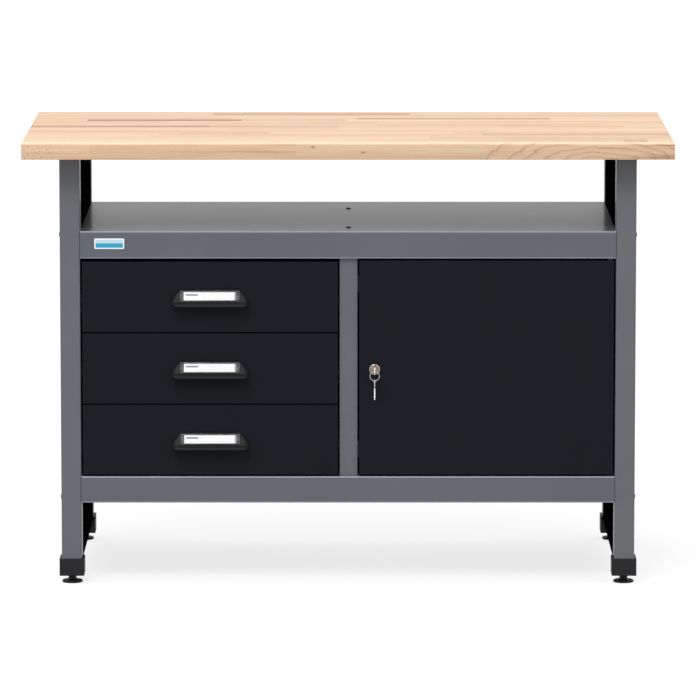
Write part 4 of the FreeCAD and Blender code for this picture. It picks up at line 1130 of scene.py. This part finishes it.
@dataclass
class Drawer:
    """One drawer: painted front and box, slides, moulded grip, card and clear cover."""

    make: Maker
    finishes: Finishes
    number: int
    seat_top_depth: float = 3.2 * MM
    seat_depth: float = 15.0 * MM
    seat_height: float = 21.5 * MM
    wall: float = 2.2 * MM
    columns: int = 72
    narrow: float = 55.3 * MM
    rounding: Pair = (1.2 * MM, 7.7 * MM)
    rounding_drop: float = 18.0 * MM
    corner_reach: float = 8.8 * MM
    cover: Point = (110.0 * MM, 21.0 * MM, 1.2 * MM)
    card_room: float = 0.6 * MM
    bead: Pair = (1.8 * MM, 0.55 * MM)
    ribs: tuple[tuple[float, float, int], ...] = (
        (-54.0 * MM, 2.0 * MM, 3), (47.0 * MM, 2.3 * MM, 4))
    profile: tuple[Pair, ...] = (
        (0.0, 15.0), (1.7, 15.0), (2.6, 14.8), (3.45, 14.2), (5.0, 11.7), (8.0, 6.25), (11.0, 0.8),
        (13.6, -3.95), (14.7, -5.95), (15.6, -6.9), (17.6, -7.8), (19.6, -8.85), (21.3, -10.1),
        (22.5, -11.5), (23.0, -12.7), (22.8, -13.9), (21.9, -14.8), (20.8, -15.0))

    def build(self) -> None:
        """Dress the drawer's sheet metal and build its grip and cover."""
        name = "drawer_%d_" % self.number
        self.make.dress(self.finishes.charcoal, name + "front")
        self.make.dress(self.finishes.shell, name + "box")
        # The slides take the dark strip colour as painted shade in the gaps beside the front.
        self.make.dress(self.finishes.strip, name + "slides")
        self.make.dress(self.finishes.zinc, name + "screws")
        self.make.dress(self.finishes.card, name + "label")
        low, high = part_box(name + "handle")
        self.middle = Vector(((low.x + high.x) / 2, high.y, (low.z + high.z) / 2))
        self.half = (high.x - low.x) / 2
        self.tall = high.z - low.z
        self.build_grip(name)
        self.build_cover(name)

    def half_width(self, level: float) -> float:
        """Half the width of the grip at a height above its middle."""
        top, shoulder, corner = self.tall / 2, -3.5 * MM, -11.0 * MM
        if level >= shoulder:
            share = (top - level) / (top - shoulder)
            return self.narrow + (self.half - self.narrow) * (share + 0.4 * share * (1.0 - share))
        if level >= corner:
            return self.half
        share = (corner - level) / (corner + top)
        return self.half - self.corner_reach * (1.0 - math.sqrt(max(0.0, 1.0 - share * share)))

    def build_grip(self, name: str) -> None:
        """A moulded shell with rounded ends, closed above and open below."""
        mesh = bmesh.new()
        lines = []
        for depth, level in self.profile:
            half = self.half_width(level * MM)
            share = min(1.0, max(0.0, (self.tall / 2 - level * MM) / self.rounding_drop))
            rounding = self.rounding[0] + (self.rounding[1] - self.rounding[0]) * share
            line = []
            for column in range(self.columns + 1):
                across = math.sin(math.pi * (column / self.columns - 0.5))
                x = half * (0.35 * across + 0.65 * math.sin(math.pi / 2 * across))
                inside = min(1.0, (half - abs(x)) / rounding)
                out = depth * MM * math.sqrt(max(0.0, 1.0 - (1.0 - inside) ** 2))
                line.append(mesh.verts.new(self.middle + Vector((x, -out, level * MM))))
            lines.append(line)
        for low, high in zip(lines, lines[1:]):
            for a, b, c, d in zip(low, low[1:], high[1:], high):
                mesh.faces.new((a, b, c, d))
        bmesh.ops.remove_doubles(mesh, verts=mesh.verts, dist=0.01 * MM)
        bmesh.ops.dissolve_degenerate(mesh, dist=0.01 * MM, edges=mesh.edges)
        bmesh.ops.recalc_face_normals(mesh, faces=mesh.faces)
        made = self.make.piece(name + "grip", mesh, self.finishes.grip, "drawer_%d" % self.number,
                               "grip_plastic", [name + "handle"], 50.0)
        shell = made.modifiers.new("wall", "SOLIDIFY")
        shell.thickness = self.wall
        shell.offset = -1.0

    def build_cover(self, name: str) -> None:
        """The clear cover: a thin plate with a bead above and below and ribbed ends."""
        slope = math.atan2(self.seat_depth - self.seat_top_depth, self.seat_height)
        centre = self.middle + Vector((0.0, -(self.seat_depth + self.seat_top_depth) / 2,
                                       self.tall / 2 - self.seat_height / 2))
        # Local x runs across, y up the slope and z out of it.
        seat = Matrix.Translation(centre) @ Matrix.Rotation(math.pi / 2 - slope, 4, "X")
        width, height, thick = self.cover
        wide, proud = self.bead
        lift = Matrix.Translation((0.0, 0.0, self.card_room))
        mesh = bmesh.new()
        self.make.slab(mesh, (width, height, thick - self.card_room), seat @ lift, 1.0 * MM,
                       0.2 * MM)
        base = seat @ Matrix.Translation((0.0, 0.0, thick))
        for way in (-1.0, 1.0):
            place = base @ Matrix.Translation((0.0, way * (height / 2 - wide / 2 - 0.25 * MM), 0.0))
            self.make.slab(mesh, (width - 1.2 * MM, wide, proud), place, 0.4 * MM, 0.25 * MM, 1)
        for start, step, count in self.ribs:
            for rib in range(count):
                place = base @ Matrix.Translation((start + rib * step, 0.0, 0.0))
                self.make.slab(mesh, (1.3 * MM, height - 2 * wide - 1.0 * MM, proud), place,
                               0.3 * MM, 0.25 * MM, 1)
        made = self.make.piece(name + "cover", mesh, self.finishes.cover, "drawer_%d" % self.number,
                               "clear_cover", [name + "window"])
        made.data.materials.append(self.finishes.rim)


# --- door and lock ---

@dataclass
class Door:
    """The door with its cam lock, the inserted key, the ring and the spare key."""

    make: Maker
    finishes: Finishes
    bore: float = 6.05 * MM
    barrel: float = 9.0 * MM
    wire: float = 0.75 * MM
    ring_steps: int = 96
    ring_start: float = 0.8 * math.pi
    rosette: float = 2.2 * MM
    bead: tuple[Pair, ...] = ((0.0, 1.2), (0.5, 0.4), (1.2, 0.0), (1.8, 0.1), (2.1, 0.6), (2.2, 1.8))
    lip: tuple[Pair, ...] = ((0.9, 1.8), (0.8, 0.6), (0.5, 0.35), (0.2, 0.35), (0.0, 0.6))

    def build(self) -> None:
        """Dress the door and build the lock's rosette and the ring."""
        self.make.dress(self.finishes.charcoal, "door_panel", "door_liner")
        self.make.dress(self.finishes.bush, "hinge_bushes")
        self.make.dress(self.finishes.zinc, "lock_nut", "lock_cam", "cam_screw")
        self.make.dress(self.finishes.brass, "lock_plug")
        self.make.dress(self.finishes.nickel, "key")
        self.make.dress(self.finishes.spare, "spare_key")
        self.build_rosette()
        self.build_ring()

    def build_rosette(self) -> None:
        """The lock's barrel with a raised bead, a groove and a dished face round the plug; the faces
        inside the bead take a dark finish as painted shade.
        """
        low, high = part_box("lock_body")
        centre = ((low.x + high.x) / 2, high.y, (low.z + high.z) / 2)
        rim = (high.x - low.x) / 2
        front = high.y - low.y
        face = front - self.rosette
        rings = [Ring(self.bore, 0.0), Ring(self.barrel - 0.6 * MM, 0.0),
                 *self.make.thread(self.barrel, 0.5 * MM, 0.4 * MM, face - 2.0 * MM, 1.5 * MM),
                 Ring(self.barrel - 0.5 * MM, face), Ring(rim - 0.3 * MM, face),
                 Ring(rim, face + 0.3 * MM),
                 *(Ring(rim - inset * MM, front - sunk * MM) for inset, sunk in self.bead),
                 *(Ring(self.bore + out * MM, front - sunk * MM) for out, sunk in self.lip),
                 Ring(self.bore, 0.0)]
        mesh = bmesh.new()
        self.make.turned(mesh, rings, self.make.frame_of(centre, (0.0, -1.0, 0.0)))
        bmesh.ops.remove_doubles(mesh, verts=mesh.verts, dist=0.001 * MM)
        # Faces inside the bead, round the groove and the dish, take the dark finish as painted
        # shade.
        for face in mesh.faces:
            middle = face.calc_center_median()
            away = math.hypot(middle.x - centre[0], middle.z - centre[2])
            sunk = high.y - front + 1.0 * MM
            face.material_index = int(self.bore < away < rim - 2.0 * MM and middle.y > sunk)
        made = self.make.piece("lock_rosette", mesh, self.finishes.chrome, "door", "lock_chrome",
                               ["lock_body"])
        made.data.materials.append(self.finishes.painted)

    def build_ring(self) -> None:
        """A split ring: two turns of flat wire side by side."""
        low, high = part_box("key_ring")
        centre = (low + high) / 2
        radius = (high.x - low.x) / 2 - self.wire
        sides = 10
        mesh = bmesh.new()
        loops = []
        for step in range(2 * self.ring_steps + 1):
            share = step / (2 * self.ring_steps)
            turn = FULL_TURN * 2 * share + self.ring_start
            slip = (min(1.0, max(0.0, (share - 0.46) / 0.08)) - 0.5) * self.wire
            out = Vector((math.cos(turn), 0.0, math.sin(turn)))
            loop = []
            for side in range(sides):
                lean = FULL_TURN * side / sides
                reach = radius + self.wire * 0.98 * math.cos(lean)
                sway = slip + self.wire * 0.48 * math.sin(lean)
                loop.append(mesh.verts.new(centre + out * reach + Vector((0.0, sway, 0.0))))
            loops.append(loop)
        for low_loop, high_loop in zip(loops, loops[1:]):
            for side in range(sides):
                after = (side + 1) % sides
                mesh.faces.new((low_loop[side], low_loop[after], high_loop[after], high_loop[side]))
        mesh.faces.new(loops[0])
        mesh.faces.new(reversed(loops[-1]))
        self.make.piece("split_ring", mesh, self.finishes.wire, "key_ring", "key_nickel",
                        ["key_ring"], 60.0)


# --- studio ---

@dataclass(frozen=True)
class Lamp:
    """A soft box: its place, the point it faces, its width and height, and its power."""

    name: str
    place: Point
    target: Point
    size: Pair
    power: float


@dataclass
class Studio:
    """A plain white floor, soft light and the camera."""

    floor_half: float = 60.0
    world: float = 1.0
    below: float = 0.35
    dusk: float = -0.05
    camera_place: Point = (0.0, -10.6092, 1.8864)
    pitch: float = math.radians(90.0 - 7.924)
    lens: float = 292.23
    lamps: tuple[Lamp, ...] = (
        Lamp("key_box", (-1.2, -3.6, 4.6), (0.0, 0.0, 0.6), (2.4, 1.8), 127.0),
        Lamp("right_box", (5.0, -3.0, 2.6), (0.0, 0.0, 0.45), (2.2, 3.2), 12.0),
        Lamp("left_box", (-5.2, -2.6, 2.4), (0.0, 0.0, 0.45), (2.2, 3.2), 12.0),
    )

    def build(self) -> None:
        """Build the floor, the lights and the camera."""
        scene = bpy.context.scene
        scene.view_settings.view_transform = "Standard"
        world = bpy.data.worlds.new("studio")
        world.use_nodes = True
        sky = Wiring(world.node_tree)
        way = sky.node("ShaderNodeTexCoord", output="Generated")
        height = sky.node("ShaderNodeSeparateXYZ", values={"Vector": way}, output="Z")
        level = sky.node("ShaderNodeMapRange", values={
            "Value": height, "From Min": self.dusk, "From Max": 0.0, "To Min": self.below,
            "To Max": self.world})
        background = sky.tree.nodes["Background"]
        sky.feed(background.inputs["Strength"], level)
        sky.feed(background.inputs["Color"], (1.0, 1.0, 1.0))
        scene.world = world
        for lamp in self.lamps:
            self.build_lamp(lamp)
        self.build_floor()
        self.build_camera()
        log.info("the studio has %d lamps", len(self.lamps))

    def build_camera(self) -> None:
        """Build the camera."""
        camera = bpy.data.cameras.new("camera")
        camera.lens = self.lens
        camera.sensor_width = 36.0
        camera.clip_end = 200.0
        stand = bpy.data.objects.new("camera", camera)
        stand.location = self.camera_place
        stand.rotation_euler = (self.pitch, 0.0, 0.0)
        bpy.context.scene.collection.objects.link(stand)
        bpy.context.scene.camera = stand

    @staticmethod
    def build_lamp(lamp: Lamp) -> None:
        """Build one soft box."""
        light = bpy.data.lights.new(lamp.name, "AREA")
        light.shape = "RECTANGLE"
        light.size, light.size_y = lamp.size
        light.energy = lamp.power
        stand = bpy.data.objects.new(lamp.name, light)
        stand.location = lamp.place
        aim = Vector(lamp.target) - Vector(lamp.place)
        stand.rotation_euler = aim.to_track_quat("-Z", "Y").to_euler()
        bpy.context.scene.collection.objects.link(stand)

    def build_floor(self) -> None:
        """Build the floor."""
        mesh = bmesh.new()
        bmesh.ops.create_grid(mesh, x_segments=4, y_segments=4, size=self.floor_half)
        data = bpy.data.meshes.new("studio_floor")
        mesh.to_mesh(data)
        mesh.free()
        data.materials.append(StudioFloor().make())
        floor = bpy.data.objects.new("studio_floor", data)
        bpy.context.scene.collection.objects.link(floor)
        floor.visible_diffuse = False


def main() -> None:
    """Build the bench's looks and the studio round it."""
    logging.basicConfig(level=logging.INFO, format="%(name)s: %(message)s")
    make = Maker()
    finishes = Finishes()
    Studio().build()
    BenchTop(make).build()
    Steelwork(make, finishes).build()
    Feet(make, finishes).build()
    for number in (1, 2, 3):
        Drawer(make, finishes, number).build()
    Door(make, finishes).build()


if __name__ == "__main__":
    main()
